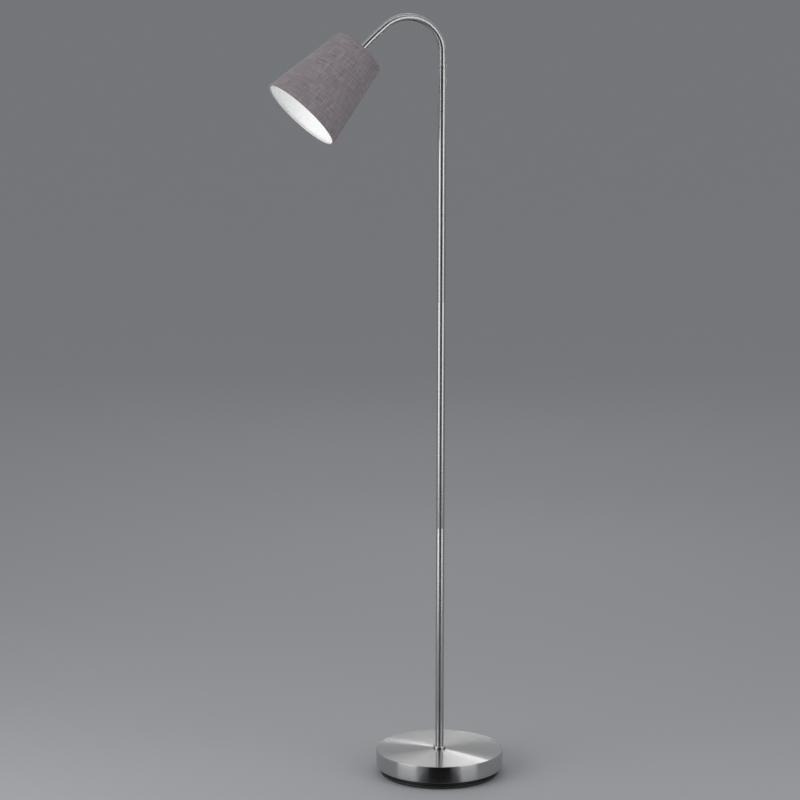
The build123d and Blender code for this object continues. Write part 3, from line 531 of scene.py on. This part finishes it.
def wound_tube_tree():
    """Tube along part of a line, wound like a flexible arm: round turns with a groove between."""
    tree, inputs = new_tree("wound_tube", [
        ("Line", "Object"), ("From", "Float"), ("To", "Float"), ("Foot Radius", "Float"), ("Taper", "Float"),
        ("Radius", "Float"), ("Depth", "Float"), ("Pitch", "Float"), ("Rings", "Int"), ("Sides", "Int"),
        ("Material", "Material"),
    ])
    maths = partial(math_node, tree)
    line = node(tree, "GeometryNodeObjectInfo", {"Object": inputs["Line"]}, transform_space="RELATIVE")
    grid, along, turn = grid_coordinates(tree, inputs)
    at = maths("MULTIPLY_ADD", along, maths("SUBTRACT", inputs["To"], inputs["From"]), inputs["From"])
    sample = node(
        tree, "GeometryNodeSampleCurve", {"Curves": line.outputs["Geometry"], "Length": at}, mode="LENGTH"
    )
    side = vector_node(tree, "CROSS_PRODUCT", (0, 1, 0), sample.outputs["Tangent"])
    turns = winding_turns(maths, at, inputs["Pitch"], turn)
    arch = maths("POWER", maths("ABSOLUTE", maths("SINE", maths("MULTIPLY", turns, math.pi))), 0.45)
    sunk = maths("MULTIPLY", maths("SUBTRACT", 1.0, arch), inputs["Depth"])
    smooth = ranged(tree, at, 0.0, inputs["Taper"], inputs["Foot Radius"], inputs["Radius"])
    out = vector_node(
        tree, "ADD", scaled(tree, side, maths("COSINE", turn)), scaled(tree, (0, 1, 0), maths("SINE", turn))
    )
    reach = scaled(tree, out, maths("SUBTRACT", smooth, sunk))
    point = vector_node(tree, "ADD", sample.outputs["Position"], reach)
    return close_grid(tree, grid, point, inputs["Material"])


def thread_tree():
    """Round screw thread about Z, from height 0, which fades out at both ends."""
    tree, inputs = new_tree("round_thread", [
        ("Root Radius", "Float"), ("Crest", "Float"), ("Pitch", "Float"), ("Height", "Float"),
        ("Rings", "Int"), ("Sides", "Int"), ("Material", "Material"),
    ])
    maths = partial(math_node, tree)
    grid, along, turn = grid_coordinates(tree, inputs)
    height = maths("MULTIPLY", along, inputs["Height"])
    turns = winding_turns(maths, height, inputs["Pitch"], turn)
    rise = ranged(tree, maths("COSINE", maths("MULTIPLY", turns, math.tau)), -1, 1, 0, 1)
    fade = maths("MULTIPLY", *(ranged(tree, along, end, inner, 0, 1, True) for end, inner in ((0, 0.12), (1, 0.88))))
    crest = maths("MULTIPLY", maths("MULTIPLY", rise, fade), inputs["Crest"])
    radius = maths("ADD", inputs["Root Radius"], crest)
    point = node(tree, "ShaderNodeCombineXYZ", {
        "X": maths("MULTIPLY", radius, maths("COSINE", turn)),
        "Y": maths("MULTIPLY", radius, maths("SINE", turn)),
        "Z": height,
    }).outputs[0]
    return close_grid(tree, grid, point, inputs["Material"])


def grips_tree():
    """Adds upright round grips round a ring that stands on the ground plane."""
    tree, inputs = new_tree("ring_grips", [
        ("Count", "Int"), ("Ring Radius", "Float"), ("Grip Radius", "Float"), ("Height", "Float"),
        ("Material", "Material"),
    ])
    circle = node(
        tree, "GeometryNodeMeshCircle", {"Vertices": inputs["Count"], "Radius": inputs["Ring Radius"]}
    ).outputs["Mesh"]
    grip = node(
        tree, "GeometryNodeMeshCylinder",
        {"Vertices": 10, "Radius": inputs["Grip Radius"], "Depth": inputs["Height"]},
    ).outputs["Mesh"]
    lift = node(tree, "ShaderNodeCombineXYZ", {"Z": math_node(tree, "MULTIPLY", inputs["Height"], 0.5)}).outputs[0]
    stood = node(tree, "GeometryNodeTransform", {"Geometry": grip, "Translation": lift}).outputs[0]
    return close_copies(tree, inputs, circle, stood)


def spokes_tree():
    """Adds bent wire spokes from a hub up to a rim, evenly round Z."""
    tree, inputs = new_tree("carrier_spokes", [
        ("Count", "Int"), ("Hub", "Vector"), ("Bend", "Vector"), ("Rim", "Vector"), ("Wire Radius", "Float"),
        ("Material", "Material"),
    ])
    maths = partial(math_node, tree)
    line = node(
        tree, "GeometryNodeCurveQuadraticBezier",
        {"Resolution": 14, "Start": inputs["Hub"], "Middle": inputs["Bend"], "End": inputs["Rim"]},
    ).outputs[0]
    section = node(tree, "GeometryNodeCurvePrimitiveCircle", {"Resolution": 14, "Radius": inputs["Wire Radius"]})
    wire = node(
        tree, "GeometryNodeCurveToMesh",
        {"Curve": line, "Profile Curve": section.outputs["Curve"], "Fill Caps": True},
    ).outputs[0]
    points = node(tree, "GeometryNodePoints", {"Count": inputs["Count"]}).outputs[0]
    index = node(tree, "GeometryNodeInputIndex").outputs[0]
    share = maths("DIVIDE", maths("MULTIPLY", index, math.tau), inputs["Count"])
    facing = node(tree, "ShaderNodeCombineXYZ", {"Z": share}).outputs[0]
    return close_copies(tree, inputs, points, wire, facing)


def guide_line(name, points):
    """Quadratic NURBS line through the middle of each run between its points, as a curve object."""
    curve = bpy.data.curves.new(name, "CURVE")
    curve.dimensions = "3D"
    spline = curve.splines.new("NURBS")
    spline.points.add(len(points) - 1)
    for target, point in zip(spline.points, points):
        target.co = (*point, 1)
    spline.order_u = 3
    spline.use_endpoint_u = True
    spline.resolution_u = 24
    return linked(name, curve)


def run_lengths(points):
    """Length along the quadratic line at the middle of each inner run, from its start to its end."""
    middles = [points[0]] + [(a + b) / 2 for a, b in zip(points[1:-2], points[2:-1])] + [points[-1]]
    lengths, total, steps = [0.0], 0.0, 48
    for start, corner, end in zip(middles, points[1:-1], middles[1:]):
        last = start
        for t in (step / steps for step in range(1, steps + 1)):
            here = start * (1 - t) ** 2 + corner * 2 * t * (1 - t) + end * t * t
            total += (here - last).length
            last = here
        lengths.append(total)
    return lengths


# ---------------------------------------------------------------- operators
class LAMP_OT_materials(bpy.types.Operator):
    """Makes the lamp's finishes"""
    bl_idname = "lamp.materials"
    bl_label = "Finishes"

    def execute(self, context):
        make_materials(context.scene.lamp_finishes, context.scene.lamp_sizes.weave_pitch)
        return {"FINISHED"}


class LAMP_OT_base(bpy.types.Operator):
    """Makes the spun cover, the collar and the moulded foot"""
    bl_idname = "lamp.base"
    bl_label = "Base"

    def execute(self, context):
        low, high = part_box("base_cover")
        radius, wall, bore = high.x, 1.2 * MM, 5.3 * MM
        lip = radius - wall - 4.0 * MM
        cover = rounded([
            (bore, high.z - wall, 0), (radius - wall, high.z - wall, 0.4 * MM),
            (radius - wall, low.z + wall, 0.3 * MM), (lip, low.z + wall, 0), (lip, low.z, 0),
            (radius, low.z, 0.55 * MM), (radius, high.z, context.scene.lamp_sizes.cover_edge), (bore, high.z, 0),
        ])
        turned_piece("base_cover", cover, sides=256)

        foot_top = low.z
        low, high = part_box("pole_collar")
        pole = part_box("lower_tube")[1].x + 0.1 * MM
        collar = rounded([
            (bore, low.z, 0), (high.x, low.z, 0.25 * MM), (high.x, high.z, 1.6 * MM),
            (pole, high.z, 0.25 * MM), (pole, low.z + 2 * MM, 0), (bore, low.z + 2 * MM, 0),
        ], 7)
        turned_piece("pole_collar", collar)
        self.foot(foot_top)
        dress("tray_screws", "base_weight", "base_stud", "stud_nut", "stud_washer")
        return {"FINISHED"}

    def foot(self, top):
        """The moulded foot with its two tiers, its boss for the lead and the bush in it, and the felt pad."""
        tier, groove, floor = 107.5 * MM, 103.5 * MM, 1.5 * MM
        rim, rim_inside, rib_inside = 112.5 * MM, 109.5 * MM, 105.3 * MM
        ceiling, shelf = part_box("foot_tray")[1].z, top - 1.2 * MM
        inside, boss_face = groove - 3 * MM, tier + 0.8 * MM
        outline = rounded([
            (0, floor, 0), (tier, floor, 0.7 * MM), (tier, floor + 4.5 * MM, 0.6 * MM),
            (groove, floor + 4.5 * MM, 0.3 * MM), (groove, floor + 6.3 * MM, 0.3 * MM),
            (tier, floor + 6.3 * MM, 0.6 * MM), (tier, floor + 8.7 * MM, 0.6 * MM),
            (groove, floor + 8.7 * MM, 0.3 * MM), (groove, shelf, 0), (rim, shelf, 0.3 * MM),
            (rim, top, 0), (rim_inside, top, 0), (rim_inside, ceiling, 0.3 * MM), (rib_inside, ceiling, 0.3 * MM),
            (rib_inside, top, 0), (inside, top - 2.5 * MM, 0), (inside, floor + 2.5 * MM, 0), (0, floor + 2.5 * MM, 0),
        ], 3)
        black = material_of("foot_black")
        tray = piece("foot_tray_moulded", lathe(outline, 256), black)
        boss = self.block(14 * MM, groove - 1.5 * MM, boss_face, floor, shelf)
        hole = lathe([(0, -12 * MM), (4.3 * MM, -12 * MM), (4.3 * MM, 4 * MM), (0, 4 * MM)], 48)
        inlet = Matrix.Translation((0, boss_face, floor + (top - floor) / 2)) @ Matrix.Rotation(-math.pi / 2, 4, "X")
        for name, mesh, place, operation in (("boss", boss, None, "UNION"), ("hole", hole, inlet, "DIFFERENCE")):
            modifier = tray.modifiers.new(name, "BOOLEAN")
            modifier.object, modifier.operation = piece(name, mesh, black, place), operation
            modifier.solver = "EXACT"
        graph = bpy.context.evaluated_depsgraph_get()
        cut = bpy.data.meshes.new_from_object(tray.evaluated_get(graph), depsgraph=graph)
        for modifier in list(tray.modifiers):
            bpy.data.objects.remove(modifier.object)
        bpy.data.objects.remove(tray)
        stand_for(piece("foot_tray_moulded", cut, black), "base", "foot_tray")

        bush = rounded_mm([
            (3.1, -6.2, 0), (4.25, -6.2, 0.3), (4.2, 0, 0), (4.9, 0, 0.2), (4.9, 1.4, 0.6), (3.1, 1.4, 0.5),
        ])
        turned_piece("cord_grommet", bush, "base", 48, inlet)
        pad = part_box("foot_pad")[1]
        felt = rounded([(0, 0, 0), (pad.x, 0, 0.4 * MM), (pad.x, pad.z, 0.2 * MM), (0, pad.z, 0)])
        turned_piece("foot_pad", felt, sides=192)

    def block(self, width, near, far, low, high):
        """Boss that faces +Y, with its upright outer edges rounded."""
        mesh = bpy.data.meshes.new("boss")
        with editing(mesh) as bm:
            bmesh.ops.create_cube(bm, size=1)
            bmesh.ops.scale(bm, vec=(width, far - near, high - low), verts=bm.verts)
            bmesh.ops.translate(bm, vec=(0, (far + near) / 2, (low + high) / 2), verts=bm.verts)
            outer = [e for e in bm.edges if all(v.co.y > far - 1e-6 for v in e.verts)]
            bmesh.ops.bevel(bm, geom=outer, offset=0.7 * MM, segments=3, affect="EDGES")
        return mesh


class LAMP_OT_pole(bpy.types.Operator):
    """Makes the three tubes of the pole and the turned cap on top"""
    bl_idname = "lamp.pole"
    bl_label = "Pole"

    def execute(self, context):
        edge = context.scene.lamp_sizes.tube_edge
        for name in ("lower_tube", "middle_tube", "upper_tube"):
            low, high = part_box(name)
            outside, bore = high.x, high.x - 1.2 * MM
            tube = [(bore, low.z, 0), (outside, low.z, edge), (outside, high.z, edge), (bore, high.z, 0)]
            turned_piece(name, rounded(tube, 4))
            dress(name + "_foot_insert", name + "_top_insert")
        low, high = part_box("pole_cap")
        seat, spigot, bore, socket, floor = low.z + 10 * MM, 5.0 * MM, 3.2 * MM, 7.0 * MM, high.z - 2 * MM
        cap = rounded([
            (bore, low.z, 0), (spigot, low.z, 0), (spigot, seat, 0), (high.x, seat, 0.6 * MM),
            (high.x, high.z, 0.5 * MM), (socket, high.z, 0.15 * MM), (socket, floor, 0), (bore, floor, 0),
        ])
        turned_piece("pole_cap", cap)
        dress("tube_joiner_1", "tube_joiner_2")
        return {"FINISHED"}


class LAMP_OT_neck(bpy.types.Operator):
    """Makes the formed sleeve and the wound flexible neck, one piece between each two joints"""
    bl_idname = "lamp.neck"
    bl_label = "Neck"

    # the sleeve's lean at its end, bend radius and last straight run, and how far it stops short of the first joint
    LEAN, BEND, LAST_RUN, SHORT = math.radians(28.2), 47.6 * MM, 2.0 * MM, 4.7 * MM
    # the run beyond the last joint, the room beside each joint, and how much its ball is lower than the link
    LAST_REACH, JOINT_ROOM, BALL_INSET = 5.8 * MM, 0.8 * MM, 0.3 * MM

    def execute(self, context):
        sizes = context.scene.lamp_sizes
        metal = material_of("neck_nickel")
        tree = wound_tube_tree()
        rising = Vector((-math.sin(self.LEAN), 0, math.cos(self.LEAN)))
        sleeve_end = neck_joints[0] - rising * self.SHORT
        self.sleeve(tree, sleeve_end, rising)

        line_points = [sleeve_end, *neck_joints, LAST_BALL + HEAD_AXIS * self.LAST_REACH]
        line = guide_line("neck_line", line_points)
        lengths = run_lengths(line_points)
        cuts = [0] + [(a + b) / 2 for a, b in zip(lengths, lengths[1:])] + [lengths[-1]]
        bodies = ["base"] + [f"neck_{k:02d}" for k in range(1, len(neck_joints))] + ["head"]
        for k, body in enumerate(bodies):
            start = cuts[k] + (self.JOINT_ROOM if k else 0)
            end = cuts[k + 1] - (self.JOINT_ROOM if body != "head" else 0)
            mesh = with_caps(grown(tree, "wound", {
                "Line": line, "From": start, "To": end, "Foot Radius": sizes.neck_radius,
                "Taper": MM, "Radius": sizes.neck_radius, "Depth": sizes.wind_depth, "Pitch": sizes.wind_pitch,
                "Rings": max(8, round((end - start) / sizes.wind_pitch * 10)), "Sides": 48, "Material": metal,
            }))
            if k:
                self.add_ball(mesh, neck_joints[k - 1], sizes.neck_radius - self.BALL_INSET)
            made = piece(f"neck_winding_{k + 1:02d}", mesh, metal, sharp=40)
            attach(made, body)
            if 0 < k <= len(LINKS):
                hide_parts(LINKS[k - 1])
        bpy.data.objects.remove(line)
        dress("sleeve_ball")
        return {"FINISHED"}

    def add_ball(self, mesh, centre, radius):
        """Adds the ball that the next link turns on, which fills the room between two links."""
        with editing(mesh) as bm:
            bmesh.ops.create_uvsphere(
                bm, u_segments=64, v_segments=40, radius=radius, matrix=Matrix.Translation(centre)
            )

    def sleeve(self, tree, end, rising):
        """The smooth tapered sleeve from the pole's cap to its rolled lip, bent like the arm's start."""
        foot_height, foot_radius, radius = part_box("neck_sleeve")[0].z, 6.9 * MM, 6.2 * MM
        centre = Vector((-self.BEND, 0, (end - rising * self.LAST_RUN).z - self.BEND * math.sin(self.LEAN)))
        points = [Vector((0, 0, foot_height + (centre.z - foot_height) * k / 6)) for k in range(7)]
        points += [centre + self.BEND * Vector((math.cos(a), 0, math.sin(a)))
                   for a in (self.LEAN * k / 8 for k in range(1, 9))]
        points.append(end)
        line = guide_line("sleeve_line", points)
        total = run_lengths(points)[-1]
        tube, lip = (
            with_caps(grown(tree, name, {
                "Line": line, "From": start, "To": total, "Foot Radius": foot_radius, "Taper": centre.z - foot_height,
                "Radius": size, "Depth": 0.0, "Pitch": MM, "Rings": rings, "Sides": 64,
                "Material": material_of("pole_nickel"),
            }))
            for name, start, size, rings in (
                ("tube", 0.0, radius, 60), ("lip", total - 1.6 * MM, radius + 0.45 * MM, 2)
            )
        )
        with editing(joined(tube, lip)) as bm:
            rim = [e for e in bm.edges if e.calc_face_angle(0) > 1.2
                   and all((v.co - end).length < radius * 1.4 for v in e.verts)]
            bmesh.ops.bevel(bm, geom=rim, offset=0.3 * MM, segments=3, affect="EDGES")
        stand_for(piece("neck_sleeve_formed", tube, material_of("pole_nickel")), "base", "neck_sleeve")
        bpy.data.objects.remove(line)


class LAMP_OT_holder(bpy.types.Operator):
    """Makes the ferrule, the lamp holder and its ring"""
    bl_idname = "lamp.holder"
    bl_label = "Lamp Holder"

    def execute(self, context):
        place, white = head_place(), material_of("holder_white")
        turned_piece("neck_ferrule", rounded_mm([
            (1.8, 2.0, 0), (6.35, 2.0, 0.5), (6.35, 9.0, 0.3), (5.0, 9.0, 0), (5.0, 17.0, 0), (1.8, 17.0, 0),
        ]), "head", 64, place)
        turned_piece("holder_cap", rounded_mm([
            (5.05, 9.0, 0), (8.0, 9.0, 0.8), (13.3, 18.0, 2.0), (13.3, 21.0, 0.2), (10.75, 21.0, 0),
            (10.75, 18.0, 0), (7.15, 12.0, 0), (5.05, 12.0, 0),
        ]), "head", 96, place)

        shell = lathe(rounded_mm([
            (11.6, 21.0, 0), (13.3, 21.0, 0.2), (13.3, 26.0, 0), (17.0, 26.0, 0.5), (17.0, 28.4, 0.5),
            (12.9, 28.4, 0), (12.9, 62.0, 0.4), (11.6, 62.0, 0.3),
        ]))
        thread = grown(thread_tree(), "thread", {
            "Root Radius": 12.85 * MM, "Crest": 1.05 * MM, "Pitch": 4.2 * MM, "Height": 31.5 * MM,
            "Rings": 100, "Sides": 72, "Material": white,
        })
        thread.transform(Matrix.Translation((0, 0, 29.6 * MM)))
        head_piece("holder_body_threaded", joined(shell, with_caps(thread)), "holder_body", 40)

        ring = lathe(rounded_mm([(14.6, 0, 0), (18.7, 0, 0.4), (18.7, 7, 0.8), (14.6, 7, 0.5)]))
        grips = grown(grips_tree(), "grips", {
            "Count": context.scene.lamp_sizes.grip_count, "Ring Radius": 18.7 * MM, "Grip Radius": 0.75 * MM,
            "Height": 6 * MM, "Material": white,
        }, ring)
        head_piece("shade_ring_gripped", grips, "shade_ring", distance=29.8 * MM)
        dress("holder_insulator", "centre_contact", "screw_shell")
        return {"FINISHED"}


class LAMP_OT_bulb(bpy.types.Operator):
    """Makes the opal bulb and its small rolled screw cap"""
    bl_idname = "lamp.bulb"
    bl_label = "Bulb"

    def execute(self, context):
        outline = [(r * MM, h * MM) for r, h in self.globe()]
        head_piece("bulb_globe", lathe(outline, 72), "bulb_glass", 60)

        metal = material_of("bulb_aluminium")
        cap = lathe(rounded_mm([
            (0, 36.2, 0), (2.9, 36.2, 0.4), (3.4, 37.4, 0), (6.15, 38.9, 0.3), (6.15, 51.4, 0), (6.65, 51.6, 0.2),
            (6.65, 53.2, 0.2), (6.1, 53.2, 0), (6.1, 41.0, 0), (0, 41.0, 0),
        ]), 64)
        thread = grown(bpy.data.node_groups["round_thread"], "cap_thread", {
            "Root Radius": 6.1 * MM, "Crest": 0.58 * MM, "Pitch": context.scene.lamp_sizes.thread_pitch,
            "Height": 12 * MM, "Rings": 60, "Sides": 56, "Material": metal,
        })
        thread.transform(Matrix.Translation((0, 0, 39.2 * MM)))
        head_piece("bulb_cap_threaded", joined(cap, with_caps(thread)), "bulb_cap", 40)
        return {"FINISHED"}

    def globe(self):
        """Outline of the glass in millimetres: a ball that a hollow flank leads to from the neck."""
        radius, centre, neck, seat, flank_foot, steps = 22.5, 91.7, 6.1, 41.2, 53.2, 30
        reach = centre - flank_foot
        touch = math.atan2(neck, -reach) - math.acos(radius / math.hypot(neck, reach))

        def on_ball(angle):
            return Vector((radius * math.sin(angle), centre + radius * math.cos(angle)))

        foot = Vector((neck, flank_foot))
        flank = [foot.lerp(on_ball(touch), t) - Vector((1.1 * math.sin(math.pi * t), 0))
                 for t in (0.12, 0.3, 0.5, 0.7, 0.88)]
        ball = [on_ball(touch * (1 - k / steps)) for k in range(steps)]
        return [(neck, seat), (neck, flank_foot), *flank, *ball, (0.0, centre + radius), (0.0, seat)]


class LAMP_OT_shade(bpy.types.Operator):
    """Makes the linen shade, its lining, its wire rings and its carrier"""
    bl_idname = "lamp.shade"
    bl_label = "Shade"

    TOP, BOTTOM, START, LENGTH = 47.75 * MM, 74.2 * MM, 14.0 * MM, 151.5 * MM

    def radius(self, distance):
        return self.TOP + (distance - self.START) / self.LENGTH * (self.BOTTOM - self.TOP)

    def execute(self, context):
        start, end = self.START, self.START + self.LENGTH
        cloth, lip, rows = 0.7 * MM, 3.4 * MM, 60
        outside = [(self.radius(h), h) for h in (start + self.LENGTH * k / rows for k in range(1, rows))]
        hem = [(0.15 * MM, 0.5 * MM), (0.6 * MM, 0.1 * MM), (1.4 * MM, 0), (2.4 * MM, 0.15 * MM), (lip, 0.6 * MM)]
        bottom = [(self.radius(end) - d, end - h) for d, h in hem]
        top = [(self.radius(start) - d, start + h) for d, h in reversed(hem)]
        low, high = start + cloth * 2, end - cloth * 2
        inner = [
            (self.radius(end) - lip, end - cloth - 0.6 * MM), (self.radius(high) - cloth, high),
            (self.radius(low) - cloth, low), (self.radius(start) - lip, start + cloth + 0.6 * MM),
        ]
        mesh = lathe(outside + bottom + inner + top, 256)
        self.lay_flat(mesh)
        made = head_piece("shade_cloth", mesh, "shade_fabric", 50)

        inner_start, inner_end = start + cloth, end - cloth
        lining = [(self.radius(h) - cloth - t, h) for h, t in (
            (inner_start, 0.5 * MM), (inner_start, 0.02 * MM), (inner_end, 0.02 * MM), (inner_end, 0.5 * MM))]
        turned_piece("shade_lining", lining, "head", 192, head_place())
        wire = 1.2 * MM
        inset = cloth + 0.55 * MM + wire
        top_wire = (self.radius(inner_start) - inset, inner_start + wire)
        bottom_wire = (self.radius(inner_end - 2 * wire) - inset, inner_end - wire)

        def hoop(place):
            return lathe([(place[0] + wire * math.cos(a), place[1] + wire * math.sin(a))
                          for a in (math.tau * k / 14 for k in range(14))], 160)

        head_piece("shade_ring_bottom", hoop(bottom_wire), "shade_bottom_ring", 60)
        plate = lathe(rounded_mm([(14.2, 28.4, 0), (20, 28.4, 0.3), (20, 29.8, 0.5), (14.2, 29.8, 0.2)]))
        level = 29.1 * MM
        carrier = grown(spokes_tree(), "spokes", {
            "Count": context.scene.lamp_sizes.spoke_count, "Hub": (18.6 * MM, 0, level), "Bend": (34 * MM, 0, level),
            "Rim": (top_wire[0], 0, top_wire[1]), "Wire Radius": 1.1 * MM,
            "Material": material_of("wire_white"),
        }, joined(plate, hoop(top_wire)))
        head_piece("shade_carrier_wired", carrier, "shade_carrier", 40)
        return {"FINISHED"}

    def slope(self):
        return math.hypot(self.LENGTH, self.BOTTOM - self.TOP)

    def lay_flat(self, mesh):
        """Gives the cloth its place in the flat sector that it was cut from, in metres."""
        sine = (self.BOTTOM - self.TOP) / self.slope()
        layer = mesh.uv_layers.new(name="flat_cloth")
        for polygon in mesh.polygons:
            middle = math.atan2(polygon.center.y, polygon.center.x)
            for corner in polygon.loop_indices:
                point = mesh.vertices[mesh.loops[corner].vertex_index].co
                angle = math.atan2(point.y, point.x)
                angle += math.tau * round((middle - angle) / math.tau)
                away = point.xy.length / sine
                layer.data[corner].uv = (away * math.sin(angle * sine), away * math.cos(angle * sine))


class LAMP_OT_stage(bpy.types.Operator):
    """Makes the pale floor, the soft lights and the camera"""
    bl_idname = "lamp.stage"
    bl_label = "Studio"

    CAMERA_BEARING = math.radians(-21.874)

    def execute(self, context):
        studio = context.scene.lamp_studio
        self.floor(tuple(studio.floor))
        self.world(studio)
        self.camera()
        # name, bearing from the camera's side, distance, width, height, middle, aim, lean, radiance
        for name, bearing, away, width, tall, middle, aim, lean, radiance in (
            ("soft_box_left", -60, 1.7, 1.2, 1.8, 0.9, 0.75, 0, studio.key_strength),
            ("soft_box_right", 52, 1.7, 1.0, 1.75, 0.875, 0.75, 0, studio.key_strength * 0.8),
            ("soft_box_over", 0, 0.55, 3.0, 0.4, 2.7, 1.35, 0, studio.over_strength),
            ("strip_back", 171, 2.08, 0.06, 0.85, 1.2, 0.04, 45, studio.strip_strength),
            ("soft_box_back", 180, 3.2, 1.3, 1.8, 2.5, 0.3, 0, studio.back_strength),
        ):
            self.soft_box(name, bearing, away, width, tall, middle, aim, lean, radiance)
        fill = self.soft_box("soft_box_fill", -40, 2.4, 1.6, 1.6, 0.9, 1.2, 0, studio.fill_strength)
        fill.visible_glossy = False
        self.cards()
        context.scene.view_settings.view_transform = "Standard"
        return {"FINISHED"}

    def matt(self, name, corners, shades):
        """A matt surface of the studio, with four corners to each face."""
        mesh = bpy.data.meshes.new(name)
        mesh.from_pydata(corners, [], [range(k, k + 4) for k in range(0, len(corners), 4)])
        material, tree, inputs = new_material(name, Roughness=0.9, Specular_IOR_Level=0.0)
        patch = noise(tree, object_coordinates(tree), 3.0)
        tree.links.new(mixed(tree, patch, *shades), inputs["Base Color"])
        mesh.materials.append(material)
        made = linked(name, mesh)
        return made

    def floor(self, shade):
        """A floor that reaches past what any view shows, in metres."""
        reach = 400
        corners = [(-reach, -reach, 0), (reach, -reach, 0), (reach, reach, 0), (-reach, reach, 0)]
        self.matt("floor", corners, shades_of(shade, 0.985, 1))

    def cards(self):
        """Black cards before and behind the lamp, seen only in the metal, as studios set for bright metal."""
        turn = Matrix.Rotation(self.CAMERA_BEARING, 3, "Z")
        corners = []
        # half widths at both ends, heights at both ends, distances behind the lamp at both ends
        for near, far, low, high, start, end in (
            (0.06, 0.3, 0.001, 0.001, -0.125, -0.9), (0.3, 0.3, 0.001, 1.3, -0.9, -0.9),
            (0.6, 0.6, 1.3, 1.95, -0.9, -0.9), (0.25, 1.6, 0.001, 0.001, 0.2, 3.5),
        ):
            face = (-near, start, low), (near, start, low), (far, end, high), (-far, end, high)
            corners += [turn @ Vector(corner) for corner in face]
        made = self.matt("flag", corners, ((0.01, 0.01, 0.01), (0.02, 0.02, 0.02)))
        made.visible_camera = made.visible_shadow = made.visible_diffuse = False

    def world(self, studio):
        world = bpy.data.worlds.new("studio")
        world.use_nodes = True
        tree = world.node_tree
        direction = node(tree, "ShaderNodeTexCoord").outputs["Generated"]
        to_camera = (math.sin(self.CAMERA_BEARING), -math.cos(self.CAMERA_BEARING), 0.1)
        facing = vector_node(tree, "DOT_PRODUCT", direction, to_camera)
        dim = ranged(tree, facing, 0.55, 0.95, 1.0, 0.5, True)
        sky = mixed(tree, dim, (0.0, 0.0, 0.0), (0.97, 0.985, 1.0))
        background = tree.nodes["Background"]
        tree.links.new(sky, background.inputs["Color"])
        background.inputs["Strength"].default_value = studio.sky_strength
        bpy.context.scene.world = world

    def camera(self):
        data = bpy.data.cameras.new("camera")
        data.lens, data.sensor_width = 113.47, 36
        data.clip_end = 2000
        made = linked("camera", data)
        turn = Matrix.Rotation(self.CAMERA_BEARING, 4, "Z")
        pitch = Matrix.Rotation(math.radians(90 - 9.414), 4, "X")
        roll = Matrix.Rotation(math.radians(0.075), 4, "Z")
        made.matrix_world = Matrix.Translation((-1.7180, -4.0842, 1.4212)) @ turn @ pitch @ roll
        bpy.context.scene.camera = made

    def soft_box(self, name, bearing, away, width, tall, middle, aim, lean, radiance):
        data = bpy.data.lights.new(name, "AREA")
        data.shape, data.size, data.size_y = "RECTANGLE", width, tall
        data.energy = radiance * math.pi * width * tall
        made = linked(name, data)
        angle = self.CAMERA_BEARING + math.radians(bearing)
        where = Vector((math.sin(angle) * away, -math.cos(angle) * away, middle))
        away = where - Vector((0, 0, aim))
        facing = away.to_track_quat("Z", "Y").to_matrix().to_4x4() @ Matrix.Rotation(math.radians(lean), 4, "Z")
        made.matrix_world = Matrix.Translation(where) @ facing
        made.visible_camera = False
        return made


class LAMP_PT_panel(bpy.types.Panel):
    """Lists the steps that dress the lamp, with its sizes and colours"""
    bl_idname = "LAMP_PT_panel"
    bl_label = "Reading Lamp"
    bl_space_type = "VIEW_3D"
    bl_region_type = "UI"
    bl_category = "Reading Lamp"

    def draw(self, context):
        for operator in STEPS:
            self.layout.operator(operator.bl_idname)
        for group in (context.scene.lamp_sizes, context.scene.lamp_finishes, context.scene.lamp_studio):
            box = self.layout.box()
            for key in type(group).__annotations__:
                box.prop(group, key)


STEPS = (
    LAMP_OT_stage, LAMP_OT_materials, LAMP_OT_base, LAMP_OT_pole, LAMP_OT_neck, LAMP_OT_holder, LAMP_OT_bulb,
    LAMP_OT_shade,
)
GROUPS = {"lamp_sizes": LampSizes, "lamp_finishes": LampFinishes, "lamp_studio": LampStudio}


def register():
    for each in (*GROUPS.values(), *STEPS, LAMP_PT_panel):
        bpy.utils.register_class(each)
    for name, group in GROUPS.items():
        setattr(bpy.types.Scene, name, PointerProperty(type=group))


def unregister():
    for name in GROUPS:
        delattr(bpy.types.Scene, name)
    for each in (LAMP_PT_panel, *reversed(STEPS), *reversed(GROUPS.values())):
        bpy.utils.unregister_class(each)


def main():
    register()
    for operator in STEPS:
        category, name = operator.bl_idname.split(".")
        getattr(getattr(bpy.ops, category), name)()
    bpy.context.view_layer.update()


if __name__ == "__main__":
    main()
